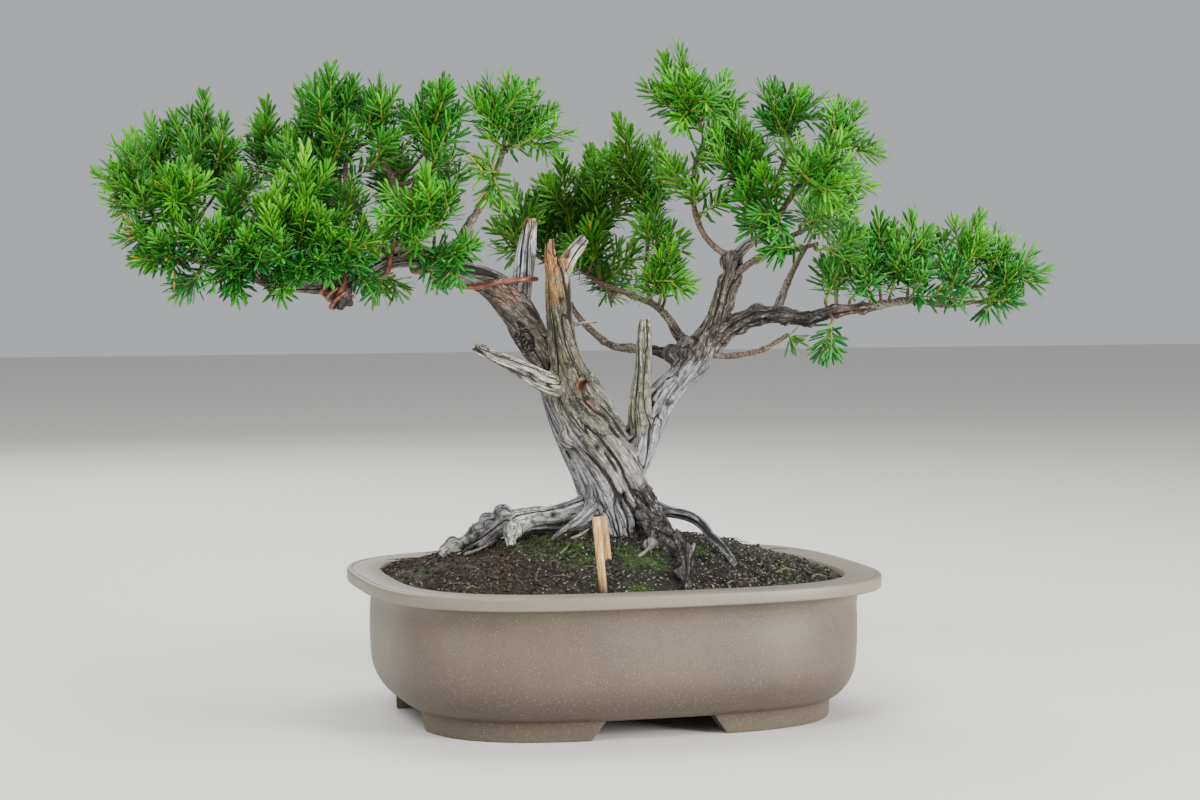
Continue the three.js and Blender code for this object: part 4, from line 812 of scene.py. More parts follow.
# Patches on the front, by look: [pixel across, pixel down, radius, strength].
PATCHES = {
    "torn": [[508, 296, 12, 0.3], [529, 220, 8, 0.5], [528, 238, 6, 0.2], [551, 262, 16, 0.9],
        [553, 292, 12, 0.8], [583, 385, 7, 0.9]],
    "red": [[590, 402, 6, 0.35], [652, 487, 6, 0.25], [713, 527, 4, 0.9], [846, 312, 12, 0.2],
        [866, 309, 10, 0.14]],
    "lilac": [[606, 517, 7, 1], [588, 480, 22, 0.9], [606, 515, 26, 0.7]],
    "lichen": [[521, 530, 14, 1], [524, 518, 11, 0.9], [512, 540, 8, 1], [540, 513, 12, 0.4],
        [462, 548, 8, 0.7], [447, 552, 7, 0.9], [684, 592, 8, 0.8], [725, 556, 8, 0.5]],
    # The dark patches are partly darker bark and partly painted shade, as on the right arm under the foliage
    # and in the crotch.
    "dark": [[498, 517, 9, 0.8], [684, 350, 12, 0.5], [745, 322, 14, 0.3], [474, 534, 8, 0.7],
        [560, 530, 14, 0.5], [470, 347, 8, 0.6], [516, 374, 7, 0.6], [486, 528, 12, 0.5], [466, 549, 7, 0.8],
        [731, 260, 10, 0.5], [548, 318, 22, 0.35], [520, 330, 16, 0.35], [672, 354, 14, 0.6],
        [562, 330, 22, 0.3], [575, 372, 24, 0.25], [606, 430, 20, 0.15], [500, 290, 22, 0.25],
        [770, 318, 24, 0.8], [812, 318, 24, 0.75], [726, 330, 16, 0.45], [668, 552, 16, 0.75],
        [652, 512, 18, 0.2], [636, 540, 14, 0.3], [665, 555, 12, 0.4]],
    "brown": [[578, 362, 24, 0.7], [562, 310, 18, 0.6], [604, 440, 26, 0.35], [560, 350, 20, 0.8],
        [590, 400, 24, 0.6], [700, 342, 18, 0.7], [672, 354, 14, 1], [566, 330, 22, 0.5]],
    "green": [[598, 322, 6, 0.8], [556, 330, 18, 0.8], [560, 360, 14, 0.5], [644, 330, 12, 0.9],
        [640, 372, 14, 0.5], [684, 586, 9, 0.7], [600, 545, 16, 0.5], [574, 392, 26, 0.75],
        [600, 420, 22, 0.55]],
    "dead": [[575, 248, 9, 1], [500, 357, 16, 1], [527, 262, 14, 0.9], [622, 460, 14, 0.35],
        [396, 256, 24, 0.4], [430, 262, 24, 0.45], [474, 275, 16, 0.35], [590, 470, 16, 0.3]],
    "steel": [[525, 255, 24, 1]],
    "gnarled": [[470, 540, 16, 1], [455, 548, 14, 1], [705, 345, 22, 1], [658, 525, 16, 0.8]],
}


def sculpt_wood():
    """The wood with its swellings, cracks, ribs, knots and hollows, and what each place looks like."""
    wood = rough_wood()
    points, normals = points_of(wood.data) / MM, points_of(wood.data, "normal")
    first, second = nearest_limbs(points)
    share = 1 / (1 + np.exp(np.clip((first[1] - second[1]) / 1.6, -30, 30)))
    grains = [grain_of(first), grain_of(second)]
    spotted = as_seen(points)
    facing = spotted[:, 2]
    broken = noise(points / 5, 21) * 0.5 + noise(points / 2.2, 22) * 0.3

    def blended(size, drawn, seed, shift=(0, 0, 0)):
        a, b = (noise((g + shift) / [size, size, size * drawn], seed) for g in grains)
        return a * share + b * (1 - share)

    def crack_lines(size, drawn, seed):
        """How many millimetres each point lies from the nearest line of a field of long cracks."""
        here, right, over = (blended(size, drawn, seed, shift) + 0.12 * blended(3, 4, seed + 10, shift)
                             for shift in ((0, 0, 0), (0.6, 0, 0), (0, 0.6, 0)))
        slope = np.hypot(right - here, over - here) / 0.6
        return np.clip(here / np.maximum(slope, 0.35 / size), -6, 6)

    looks = {key: np.zeros(len(points)) for key in (*LOOK_NAMES, "gnarled")}
    for limb, weight in ((first[0], share), (second[0], 1 - share)):
        for order, name in enumerate(LIMBS):
            for key, value in LOOKS.get(name, {}).items():
                looks[key] += value * weight * (limb == order)
    for key, patches in PATCHES.items():
        for px, py, radius, strength in patches:
            away = np.hypot(*pixel_gaps(spotted, px, py))
            near = away < radius * 1.3
            if near.any():
                fall = smooth_step(radius * 1.6 + 8, 6, facing - facing[near].min())
                fall = smooth_step(1.15, 0.55, away / radius + broken * 0.5) * fall
                looks[key] = np.maximum(looks[key], fall * strength)
    dead = np.clip(looks["dead"] + looks["torn"], 0, 1)

    swell = 1.7 * blended(17, 3.5, 1) + 1.0 * blended(9, 5, 2)
    cleft, split = crack_lines(8, 14, 3), crack_lines(4.2, 14, 4)
    gape = np.clip(0.5 + 0.7 * blended(20, 2.4, 7), 0.06, 0.9)
    for px, py, radius in KNOTS:
        aside, above = pixel_gaps(spotted, px, py)
        near = np.hypot(aside, above * 0.8)
        front = facing[near < 5].min()
        round_it = smooth_step(radius * 1.5, radius * 0.8, near) * smooth_step(front + 16, front + 8, facing)
        wave = np.cos(near / 4.6 * 2 * math.pi + 5 * broken + 2 * noise(points / 6, 23)) * 1.5
        cleft = cleft * (1 - round_it) + wave * round_it
        gape = np.maximum(gape, 0.45 * round_it)
    valley = np.clip(1 - np.abs(cleft) / (2.2 * gape + 0.7), 0, 1)
    groove = np.clip(1 - np.abs(split) / 1.3, 0, 1)
    lumps = noise(points / 8, 51) * 2.6 - 2.2 * smooth_step(0.12, 0.02, np.abs(noise(points / 6.5, 52)))
    depth = swell - valley * gape * (2.9 + 1.4 * dead) - groove * (0.75 + 0.6 * dead) \
        + np.clip(looks["gnarled"], 0, 1) * lumps
    size = np.clip(np.minimum(first[4], second[4] + 20) / 13, 0.3, 1.35)
    depth = (depth + blended(2.7, 12, 6) * (0.32 + 0.35 * dead)) * size
    hollow = np.zeros(len(points))
    for px, py, radius, down, lip in HOLLOWS:
        near = np.hypot(*pixel_gaps(spotted, px, py))
        if (near < 4).any():
            away = np.sqrt(near ** 2 + np.maximum(facing - facing[near < 4].min() - 3, 0) ** 2)
            depth = depth - down * np.exp(-(away / radius) ** 2) \
                + lip * np.exp(-((away - 1.5 * radius) / (0.5 * radius)) ** 2)
            hollow = np.maximum(hollow, 0.95 * np.exp(-(away / (radius * 0.8)) ** 2))
    wood.data.vertices.foreach_set("co", ((points + normals * depth[:, None]) * MM).ravel())
    wood.data.update()
    for key in LOOK_NAMES:
        store(wood.data, key, np.clip(looks[key], 0, 1))
    for key, value in zip(CRACKS, (cleft, split, blended(7, 1.5, 5), gape, hollow)):
        store(wood.data, key, value)
    store(wood.data, "grain", grains[0])
    pick(wood)
    bpy.ops.object.shade_smooth()
    return wood


# Fine stems, twigs and shoots

bearing_lines = [limb_line(LIMBS[name], 2)[:2] for name in BEARING]
WOOD_SPOTS = np.vstack([line for line, _ in bearing_lines])
WOOD_RADII = np.concatenate([radii for _, radii in bearing_lines])
SHOOT_SHORTER = 8  # how far a shoot's own tip stays behind its furthest needle


def nearest_wood(spot):
    """How far the nearest bark is, and the place and radius of its limb there."""
    gaps = np.linalg.norm(WOOD_SPOTS - spot, axis=1) - WOOD_RADII
    best = int(np.argmin(gaps))
    return gaps[best], WOOD_SPOTS[best], WOOD_RADII[best]


def bend_away(lean, start, along, reach):
    """Keeps a side shoot's middle control point about square to the main shoot."""
    way = lean - start
    angle = math.acos(np.clip(unit(way).dot(along), -1, 1))
    wanted = min(max(angle, math.radians(50)), math.radians(92))
    if wanted == angle:
        return lean
    aside = unit(way - along * way.dot(along))
    return start + 0.45 * reach * (along * math.cos(wanted) + aside * math.sin(wanted))


def shoot_curves(rows):
    """The control points of a spray's shoots, as the solid spray has them."""
    start, tip = seen(rows[0]), seen(rows[1])
    step = unit(tip - start) * 2
    for _ in range(12):
        if nearest_wood(start)[0] >= 3:
            break
        start = start + step
    curves = []
    for j, row in enumerate(rows[1:]):
        source = start
        if curves:
            main = bezier(curves[0], np.linspace(0, 1, 101))
            share = (j - 0.5) / max(3, round(length_of(main) / 6.9))
            near = bezier(curves[0], [share - 0.001, share, share + 0.001])
            source = near[1]
        end = seen(row)
        end = end - unit(end - source) * SHOOT_SHORTER
        reach = np.linalg.norm(end - source)
        lean = (source + end) / 2 - np.array([0, 0, 0.05 * reach])
        if curves:
            lean = bend_away(lean, source, unit(near[2] - near[0]), reach)
        curves.append([source, lean, end])
    return curves


def fine_stems(shape):
    """Limbs too thin to sculpt, as knotted tubes."""
    for order, (name, rows) in enumerate(LIMBS.items()):
        line, radii, lengths = limb_line(rows, 1.6)
        thin = radii < THICK + 0.8
        if name not in BEARING or not thin.any():
            continue
        start = 0 if radii[0] < THICK + 0.6 else max(int(np.argmax(thin)) - 2, 0)
        line, radii, lengths = line[start:], radii[start:], lengths[start:]
        wave = noise_along(lengths / 5, order * 3.1, 0, 31)
        knots = np.maximum(noise_along(lengths / 3.4, order * 1.7, 1, 32), 0) ** 2
        thick = smooth_step(1.6, 3.6, radii)
        shape.tube(line, radii * (1 + 0.08 * wave + 0.3 * knots), 8, thick=thick, young=0)


def twig_to(shape, start, heading, seed):
    """The brown twig from the nearest limb to a shoot's foot, a little crooked."""
    spot = nearest_wood(start)[1]
    reach = np.linalg.norm(spot - start)
    rise = spot * 0.6 + start * 0.4 - np.array([0, 0, 0.12 * reach])
    shares = np.linspace(0, 1, max(5, int(reach / 2)))
    line = bezier([spot, rise, start - heading * 0.3 * reach, start + heading * 1.5], shares)
    sway = np.stack([noise_along(shares * reach / 9, seed + 0.37, k, 41) for k in (0.5, 7.5, 14.5)], -1)
    line = line + sway * (np.sin(shares * math.pi) * min(2.2, reach / 14))[:, None]
    knots = np.maximum(noise_along(shares * reach / 3, seed * 1.3, 0, 42), 0)
    radii = 1.15 + 0.02 * reach * (1 - shares) ** 1.3 + 0.35 * knots
    shape.tube(line, radii, 7, thick=0.35 * (1 - shares), young=smooth_step(0.75, 1, shares) * 0.7)


NEEDLE_LENGTH = 15.2
NEEDLE_WIDTH = 2.45
NEEDLE_SPACING = 1.15
FOOT_LEAN = math.radians(64)
TIP_LEAN = math.radians(19)
GOLDEN_TURN = 2.39996
# A needle's outline: [share of its length, half width, top, bottom], between its foot and its point.
NEEDLE_STATIONS = np.array([[0.2, 0.42, 0.16, 0.12], [0.82, 0.44, 0.16, 0.08]])
FRONT = unit(seen([0, 0, -1]) - seen([0, 0, 0]))


class Foliage:
    """The needles of one spray, gathered along its shoots."""

    def __init__(self, seed, old, yellow):
        self.random = np.random.default_rng(seed)
        self.shape = Shape()
        self.old, self.yellow = old, yellow

    def shoot(self, controls, thickness, fresh, cool):
        """A green stem with its needles, most of them in two ranks and the rest all round."""
        length = length_of(bezier(controls, np.linspace(0, 1, 40)))
        shares = np.linspace(0, 1, max(5, int(length / 3)))
        self.shape.tube(bezier(controls, shares), thickness * (1.15 - 0.5 * shares), 5, tone=0.6,
                        old=self.old * 0.5, fresh=0.35, cool=0, yellow=0, under=0, stalk=1)
        count = max(10, int(length / NEEDLE_SPACING))
        place = (np.arange(count) + self.random.uniform(0, 0.8, count)) / count
        place = np.minimum(0.06 + 0.95 * np.clip(place, 0, 1), 1)
        along = unit(bezier(controls, place + 0.01) - bezier(controls, place - 0.01))
        turn = np.arange(count) * GOLDEN_TURN + self.random.uniform(0, 0.7, count)
        # The flat side of a shoot faces the light and the front.
        flat = np.array([0.0, 0.0, 0.75]) + FRONT * self.random.uniform(0.5, 1)
        flat = flat + self.random.normal(0, 0.35, 3)
        flat = unit(flat - along * (along @ flat)[:, None])
        wide = np.cross(along, flat)
        out = unit(wide * (np.cos(turn) * 1.3)[:, None] + flat * (np.sin(turn) * 0.8 + 0.1)[:, None])
        lean = FOOT_LEAN + (TIP_LEAN - FOOT_LEAN) * place ** 1.6 + self.random.normal(0, 0.09, count)
        way = unit(along * np.cos(lean)[:, None] + out * np.sin(lean)[:, None])
        fullness = 0.66 + 0.44 * np.sin(math.pi * np.clip(place * 0.95 + 0.03, 0, 1)) ** 0.8
        long = NEEDLE_LENGTH * fullness * self.random.uniform(0.88, 1.1, count)
        raised = np.abs((way * flat).sum(1))[:, None]
        face = along * (0.35 + 0.65 * raised) + flat * (1 - 0.8 * raised)
        face = face + self.random.normal(0, 0.22, (count, 3))
        face = unit(np.cross(np.cross(way, face), way))
        self.needles(bezier(controls, place) + out * thickness * 0.7, way, face, long, place, fresh, cool)

    def needles(self, feet, way, face, long, place, fresh, cool):
        """A needle at each foot: rings of four points with a pointed end above and below."""
        count = len(feet)
        wide = np.cross(way, face)
        scale = self.random.uniform(0.85, 1.12, count)
        bend = self.random.normal(0.05, 0.07, count)
        points, under = [], []

        def put(share, across, height, below):
            arc = face * (bend * long * share ** 2 * -1)[:, None]
            aside = wide * (NEEDLE_WIDTH * across * scale)[:, None]
            points.append(feet + way * (long * share)[:, None] + aside + face * (NEEDLE_WIDTH * height) + arc)
            under.append(below)

        put(0.0, 0, 0, 0.4)
        for share, half, top, bottom in NEEDLE_STATIONS:
            put(share, half, 0, 0.3)
            put(share, 0, -bottom, 1.0)
            put(share, -half, 0, 0.3)
            put(share, 0, top * 0.45, 0.0)
        put(1.0, 0, 0, 0.2)
        size = len(points)
        walls, ends = [], []
        for j in range(4):
            n = (j + 1) % 4
            ends += [[0, 1 + n, 1 + j], [size - 1, size - 5 + j, size - 5 + n]]
            walls += [[a + j, a + n, a + 4 + n, a + 4 + j] for a in range(1, size - 5, 4)]
        base = (np.arange(count) * size)[:, None, None]
        tone = self.random.uniform(0.15, 0.75) + self.random.normal(0, 0.3, count)
        # Needles near a shoot's foot are darker: partly painted shade inside the spray, partly older needles
        # being darker green.
        tone = np.clip(tone * (0.55 + 0.5 * place), 0, 1)
        young = np.clip(fresh * (0.35 + 0.9 * place ** 2) + self.random.normal(0, 0.08, count), 0, 1)
        yellow = (self.random.random(count) < self.yellow) * self.random.uniform(0.4, 0.9, count)
        old = np.clip(self.old + self.random.normal(0, 0.15, count), 0, 1)
        self.shape.add(np.stack(points, 1), [(base + np.array(walls)[None]).reshape(-1, 4),
                                             (base + np.array(ends)[None]).reshape(-1, 3)],
                       tone=np.repeat(tone, size), old=np.repeat(old, size), fresh=np.repeat(young, size),
                       cool=float(cool), yellow=np.repeat(yellow, size), under=np.tile(under, count),
                       stalk=np.tile([1.0] + [0.0] * (size - 1), count))


def side_shoots(foliage, controls, fresh, cool, random):
    """The shoots that leave a shoot left and right and grow up beside it."""
    length = length_of(bezier(controls, np.linspace(0, 1, 30)))
    count = int(round((length - 14) / 14))
    turn = random.uniform(0, math.pi)
    for k in range(count):
        share = 0.06 + 0.62 * (k + random.uniform(0.2, 0.8)) / count
        start, ahead = bezier(controls, [share, share + 0.01])
        along = unit(ahead - start)
        side = unit(np.cross(along, FRONT + [0, 0, 0.3]))
        over = np.cross(along, side)
        angle = turn + k * math.pi + random.uniform(-0.7, 0.7)
        out = side * math.cos(angle) + over * math.sin(angle) * 0.9
        reach = max(14, length * (1 - share) * random.uniform(0.6, 0.9))
        lean = random.uniform(0.65, 0.95)
        way = unit(along * math.cos(lean) + unit(out) * math.sin(lean))
        later = unit(way * 0.6 + along * 0.5 + [0, 0, 0.2])
        bent = start + way * reach * 0.5
        foliage.shoot([start, bent, bent + later * reach * 0.5], 0.62,
                      np.clip(fresh + random.uniform(-0.15, 0.3), 0, 1),
                      np.clip(cool + random.uniform(-0.3, 0.3), 0, 1))


def sister_shoot(controls, random):
    """A shoot that fills the room beside a spray's main one."""
    start = bezier(controls, [random.uniform(0.05, 0.3)])[0]
    way = controls[2] - controls[0]
    reach = np.linalg.norm(way) * random.uniform(0.5, 0.75)
    aside = unit(np.cross(way, random.normal(size=3)))
    way = unit(unit(way) + aside * random.uniform(0.35, 0.6) + np.array([0, 0, 0.12]))
    tip = start + way * reach
    return [start, (start + tip) / 2 + aside * reach * 0.12, tip]


# More shoots where the sprays grow thickest: the foot and the tip of each, [pixel across, pixel down, back].
FILLING = [
    [175, 262, -16, 135, 225, -34], [200, 262, -20, 168, 205, -46], [205, 268, -18, 176, 292, -36],
    [232, 270, -20, 215, 222, -58], [232, 274, -20, 236, 296, -46], [262, 268, -20, 240, 232, -66],
    [268, 262, -22, 278, 180, -52], [272, 272, -22, 288, 292, -50], [295, 262, -22, 308, 205, -62],
    [300, 258, -20, 306, 140, -30], [318, 262, -24, 338, 230, -70], [340, 260, -20, 366, 214, -62],
    [352, 262, -20, 372, 292, -48], [378, 254, -20, 398, 205, -56], [400, 250, -20, 426, 176, -40],
    [404, 254, -20, 430, 228, -62], [420, 252, -18, 462, 262, -44], [425, 262, -14, 440, 286, -40],
    [330, 168, 8, 352, 110, -20], [366, 170, 4, 398, 128, -30], [424, 180, -6, 455, 110, -24],
    [300, 190, 16, 268, 140, -10], [250, 210, 10, 232, 165, -20], [180, 220, -10, 150, 175, -40],
    [160, 205, -8, 112, 180, -40], [200, 200, 10, 186, 130, -6], [215, 195, 20, 240, 140, 24],
    [505, 150, -6, 545, 130, -30], [508, 150, 0, 478, 130, -30], [560, 265, 90, 520, 215, 100],
    [600, 285, 70, 598, 190, 84], [648, 240, 60, 660, 165, 60], [660, 300, 30, 672, 235, 20],
    [690, 200, 0, 662, 150, -20], [695, 170, 0, 720, 120, -26], [752, 235, -4, 745, 150, -30],
    [775, 215, -20, 760, 160, -50], [790, 200, -26, 800, 130, -50], [800, 225, -34, 862, 190, -70],
    [815, 250, -36, 872, 232, -66], [800, 245, -36, 760, 245, -70], [825, 300, -14, 846, 250, -44],
    [850, 300, -16, 880, 255, -50], [890, 296, -16, 905, 240, -50], [985, 300, -14, 1025, 265, -34],
    [700, 215, 0, 730, 190, -24], [222, 268, -22, 200, 238, -72], [240, 270, -20, 230, 252, -76],
    [255, 268, -22, 262, 250, -84], [275, 265, -24, 284, 236, -82], [290, 265, -22, 302, 266, -80],
    [308, 262, -22, 320, 258, -84], [325, 262, -24, 346, 262, -76], [345, 258, -22, 352, 236, -84],
    [186, 258, -14, 160, 252, -56], [175, 262, -14, 152, 232, -62], [160, 214, -10, 126, 200, -60],
    [190, 210, -6, 168, 182, -62], [240, 235, 10, 222, 190, -30], [270, 230, 0, 262, 196, -50],
    [345, 230, 0, 354, 176, -30], [310, 225, 0, 296, 176, -44], [430, 250, -18, 470, 250, -50],
    [330, 150, 14, 322, 70, 30], [380, 160, 8, 372, 88, 10], [424, 170, 0, 436, 96, 20],
    [508, 146, 0, 520, 92, 0], [560, 240, 94, 546, 170, 110], [812, 180, -40, 846, 130, -40],
    [792, 150, 0, 782, 100, 20], [750, 200, -8, 742, 120, 0], [870, 300, -16, 862, 262, -60],
    [910, 298, -16, 930, 262, -56], [944, 300, -14, 962, 262, -50], [575, 270, 84, 572, 205, 100],
    [602, 286, 76, 640, 240, 60], [546, 262, 92, 532, 190, 104], [648, 245, 60, 650, 180, 76],
    [535, 250, 90, 510, 180, 100], [540, 256, 92, 560, 200, 108], [530, 250, 88, 488, 250, 100],
    [590, 250, 80, 582, 170, 96], [562, 250, 90, 580, 216, 84], [575, 262, 80, 596, 262, 96],
]


def filling_shoots():
    """The filling shoots' control points, by the spray that each stands nearest to."""
    feet = {name: seen(rows[0]) for name, rows in SPRAYS.items()}
    found = {name: [] for name in SPRAYS}
    for px, py, back, tip_px, tip_py, tip_back in FILLING:
        foot, tip = seen_pixel(px, py, back), seen_pixel(tip_px, tip_py, tip_back)
        tip = tip - unit(tip - foot) * SHOOT_SHORTER
        lean = (foot + tip) / 2 - np.array([0, 0, 0.1 * np.linalg.norm(tip - foot)])
        nearest = min(feet, key=lambda name: np.linalg.norm(feet[name] - foot))
        found[nearest].append([foot, lean, tip])
    return found


YELLOWING = ("left_23", "left_05", "left_20", "middle_08")


def make_foliage(twigs, needle_material):
    filling = filling_shoots()
    for order, (name, rows) in enumerate(SPRAYS.items()):
        random = np.random.default_rng(100 + order)
        # Painted shade: the further back a spray stands, the more its needles turn a darker olive.
        old = float(np.clip((rows[0][2] + 5) / 70, 0, 1)) * 0.85
        fresh = random.uniform(0.05, 0.4) + (0.3 if order % 4 == 2 else 0)
        foliage = Foliage(500 + order, old, 0.05 if name in YELLOWING else 0.004)
        curves = shoot_curves(rows)
        twig_to(twigs, curves[0][0], unit(curves[0][1] - curves[0][0]), order)
        for k, controls in enumerate(filling[name]):
            twig_to(twigs, controls[0], unit(controls[1] - controls[0]), order + 0.17 * k + 60)
        for controls in curves + filling[name] + [sister_shoot(curves[0], random)]:
            # Shoots low in front are bluer and older, and those on top yellower and younger.
            _, up, behind = as_seen(controls[2][None])[0]
            low = float(smooth_step(400, 340, up) * smooth_step(30, -40, behind))
            young = np.clip(fresh * (1 - 0.7 * low) + random.uniform(-0.1, 0.25), 0, 1)
            cool = np.clip(low + random.uniform(-0.35, 0.25), 0, 1)
            foliage.shoot(controls, 0.95, young, cool)
            side_shoots(foliage, controls, young, cool, random)
        finish_piece(foliage.shape.build("foliage_" + name), needle_material, "yew_needles", "spray_" + name)


# Pot

def outline_at(angle, inset):
    """The corner-rounded outline of the pot, drawn in by inset millimetres, at each turn."""
    c, s = (np.sign(v) * np.abs(v) ** (2 / CORNER_POWER) for v in (np.cos(angle), np.sin(angle)))
    return np.stack([(POT_HALF_LENGTH - inset) * c, (POT_HALF_WIDTH - inset) * s], -1)


def outline(inset, count=192):
    return outline_at(np.arange(count) / count * 2 * math.pi, inset)


def pot_profile():
    """[inset, height] from the middle of the foot ring up the wall, over the lip and down inside."""
    rows = [[FOOT_INSET + 1.5, 0], [FOOT_INSET + 0.2, 0.5], [FOOT_INSET - 0.4, 2],
            [FOOT_INSET - 1, FOOT_HEIGHT - 1.5], [FOOT_INSET - 1.6, FOOT_HEIGHT - 0.4]]
    for turn in np.linspace(0, math.pi / 2, 9):
        rows.append([BASE_INSET + 1 - (BASE_INSET + 1 - WALL_INSET) * math.sin(turn) ** 1.15,
                     FOOT_HEIGHT + 0.5 + BASE_ROUND * (1 - math.cos(turn)) ** 0.85])
    under = POT_HEIGHT - RIM_DEPTH
    rows += [[WALL_INSET - 0.5, 56], [WALL_INSET - 0.8, 66], [WALL_INSET - 0.6, 78], [WALL_INSET, 88],
             [WALL_INSET - 0.6, 93], [WALL_INSET - 1.8, 96.5], [WALL_INSET - 3.4, 99],
             [WALL_INSET - 5.5, under - 0.9], [WALL_INSET - 8, under], [1.6, under], [0.6, under + 0.25],
             [0.1, under + 0.9], [0, under + 1.8], [0, POT_HEIGHT - 2], [0.2, POT_HEIGHT - 0.9],
             [0.8, POT_HEIGHT - 0.2], [1.7, POT_HEIGHT], [3.6, POT_HEIGHT], [4.0, POT_HEIGHT - 0.55],
             [4.5, POT_HEIGHT - 0.55], [4.9, POT_HEIGHT], [LIP_WIDTH - 3, POT_HEIGHT - 0.1],
             [LIP_WIDTH - 1, POT_HEIGHT - 0.7], [LIP_WIDTH, POT_HEIGHT - 2.4], [LIP_WIDTH, POT_HEIGHT - 10],
             [LIP_WIDTH, FLOOR_TOP + 14], [LIP_WIDTH + 4, FLOOR_TOP + 5], [FLOOR_INSET, FLOOR_TOP]]
    return rows


def drawn_up(inset, height, steps):
    """A face with the pot's outline, extruded to each height in turn and scaled there along and across."""
    ring = new_piece(bpy.ops.mesh.primitive_circle_add, vertices=192, radius=1, fill_type="NGON")
    for vertex, (x, y) in zip(ring.data.vertices, outline(inset)):
        vertex.co = Vector((x, y, height)) * MM
    bpy.ops.object.mode_set(mode="EDIT")
    bpy.ops.mesh.select_all(action="SELECT")
    for next_height, wide, deep in steps:
        rise = (0, 0, (next_height - height) * MM)
        bpy.ops.mesh.extrude_region_move(TRANSFORM_OT_translate={"value": rise})
        bpy.ops.transform.resize(value=(wide, deep, 1), center_override=(0, 0, next_height * MM))
        height = next_height
    bpy.ops.mesh.select_all(action="SELECT")
    bpy.ops.mesh.normals_make_consistent(inside=False)
    bpy.ops.object.mode_set(mode="OBJECT")
    return ring


BELOW_FOOT = 5  # how far the cutters start below the table
CUTTER_REACH = 260


def cutter(opening, turned):
    """A straight cutter with the given widths, lying along Y, or along X if turned."""
    block = new_piece(bpy.ops.mesh.primitive_cube_add, size=1, location=(0, 0, 0))
    for vertex in block.data.vertices:
        x = opening[0 if vertex.co.z < 0 else 1] * (1 if vertex.co.x > 0 else -1)
        y = CUTTER_REACH * (1 if vertex.co.y > 0 else -1)
        z = -BELOW_FOOT if vertex.co.z < 0 else FOOT_HEIGHT
        vertex.co = Vector((y, -x, z) if turned else (x, y, z)) * MM
    return block


def make_pot(material):
    profile = pot_profile()
    steps = [(height, (POT_HALF_LENGTH - inset) / (POT_HALF_LENGTH - last),
              (POT_HALF_WIDTH - inset) / (POT_HALF_WIDTH - last))
             for (last, _), (inset, height) in zip(profile, profile[1:])]
    pot = drawn_up(*profile[0], steps)
    pot.name = pot.data.name = "pot_looks"
    recess = drawn_up(FOOT_INSET + FOOT_WIDTH, -BELOW_FOOT, [(FOOT_HEIGHT, 1.01, 1.01)])
    cutters = [recess, cutter(FRONT_OPENING, False), cutter(END_OPENING, True)]
    for side in (-1, 1):
        drain = new_piece(bpy.ops.mesh.primitive_cylinder_add, vertices=40, radius=DRAIN_RADIUS * MM,
                          depth=40 * MM, location=(side * DRAIN_SPREAD * MM, 0, FLOOR_TOP * MM))
        bpy.ops.object.transform_apply(location=True, rotation=True, scale=True)
        cutters.append(drain)
    for tool in cutters:
        modify(pot, "BOOLEAN", operation="DIFFERENCE", object=tool, solver="EXACT")
        bpy.data.objects.remove(tool)
    modify(pot, "BEVEL", width=0.7 * MM, segments=2, limit_method="ANGLE", angle_limit=math.radians(50))
    for vertex in pot.data.vertices:
        vertex.co += Vector((POT_X, POT_Y, 0)) * MM
    pick(pot)
    bpy.ops.object.shade_smooth_by_angle(angle=math.radians(32))
    finish_piece(pot, material, "unglazed_clay", "pot")


def make_screens(material):
    for node in ("drain_screen_left", "drain_screen_right"):
        low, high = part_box(node)
        screen = new_piece(bpy.ops.mesh.primitive_grid_add, x_subdivisions=14, y_subdivisions=14,
                           size=(SCREEN_SIZE - 2) * MM, location=(low + high) / 2)
        bpy.ops.object.transform_apply(location=True, rotation=True, scale=True)
        screen.name = screen.data.name = node + "_looks"
        modify(screen, "WIREFRAME", thickness=1.1 * MM, use_replace=True, use_boundary=True)
        finish_piece(screen, material, "drain_mesh", node)


def make_sticks(material):
    angle = np.arange(16) / 16 * 2 * math.pi
    split = 1 - 0.22 * np.exp(-((angle - 4.2) / 0.5) ** 2) + 0.03 * np.sin(7 * angle)
    # Both sticks darken towards the soil, and the back one also gets painted shade all over.
    for node, width, least_soiled in (("marker_stick_front", 0.86, 0), ("marker_stick_back", 0.94, 0.3)):
        line, radii, _ = limb_line(STICKS[node], 2)
        radii = radii * width
        radii[-1] *= 0.9
        shape = Shape()
        shape.tube(line, radii[:, None] * split[None] * 0.97, 16,
                   soiled=np.maximum(smooth_step(125, 108, line[:, 2]), least_soiled))
        stick = shape.build(node + "_looks")
        pick(stick)
        bpy.ops.object.shade_smooth_by_angle(angle=math.radians(40))
        finish_piece(stick, material, "bamboo_stick", node)


WIRE_RADIUS = 2.1
WIRE_TURNS = 4
WIRE_STEPS = 9
WIRE_FROM, WIRE_TO = 0.375, 0.83  # shares of the left limb
# The wire's free end in front of the limb: [pixel across, pixel down, back].
WIRE_END = [[537, 279, 6], [524, 279.5, -4], [500, 282, -7.5], [474, 287, -3], [455, 284, 7]]


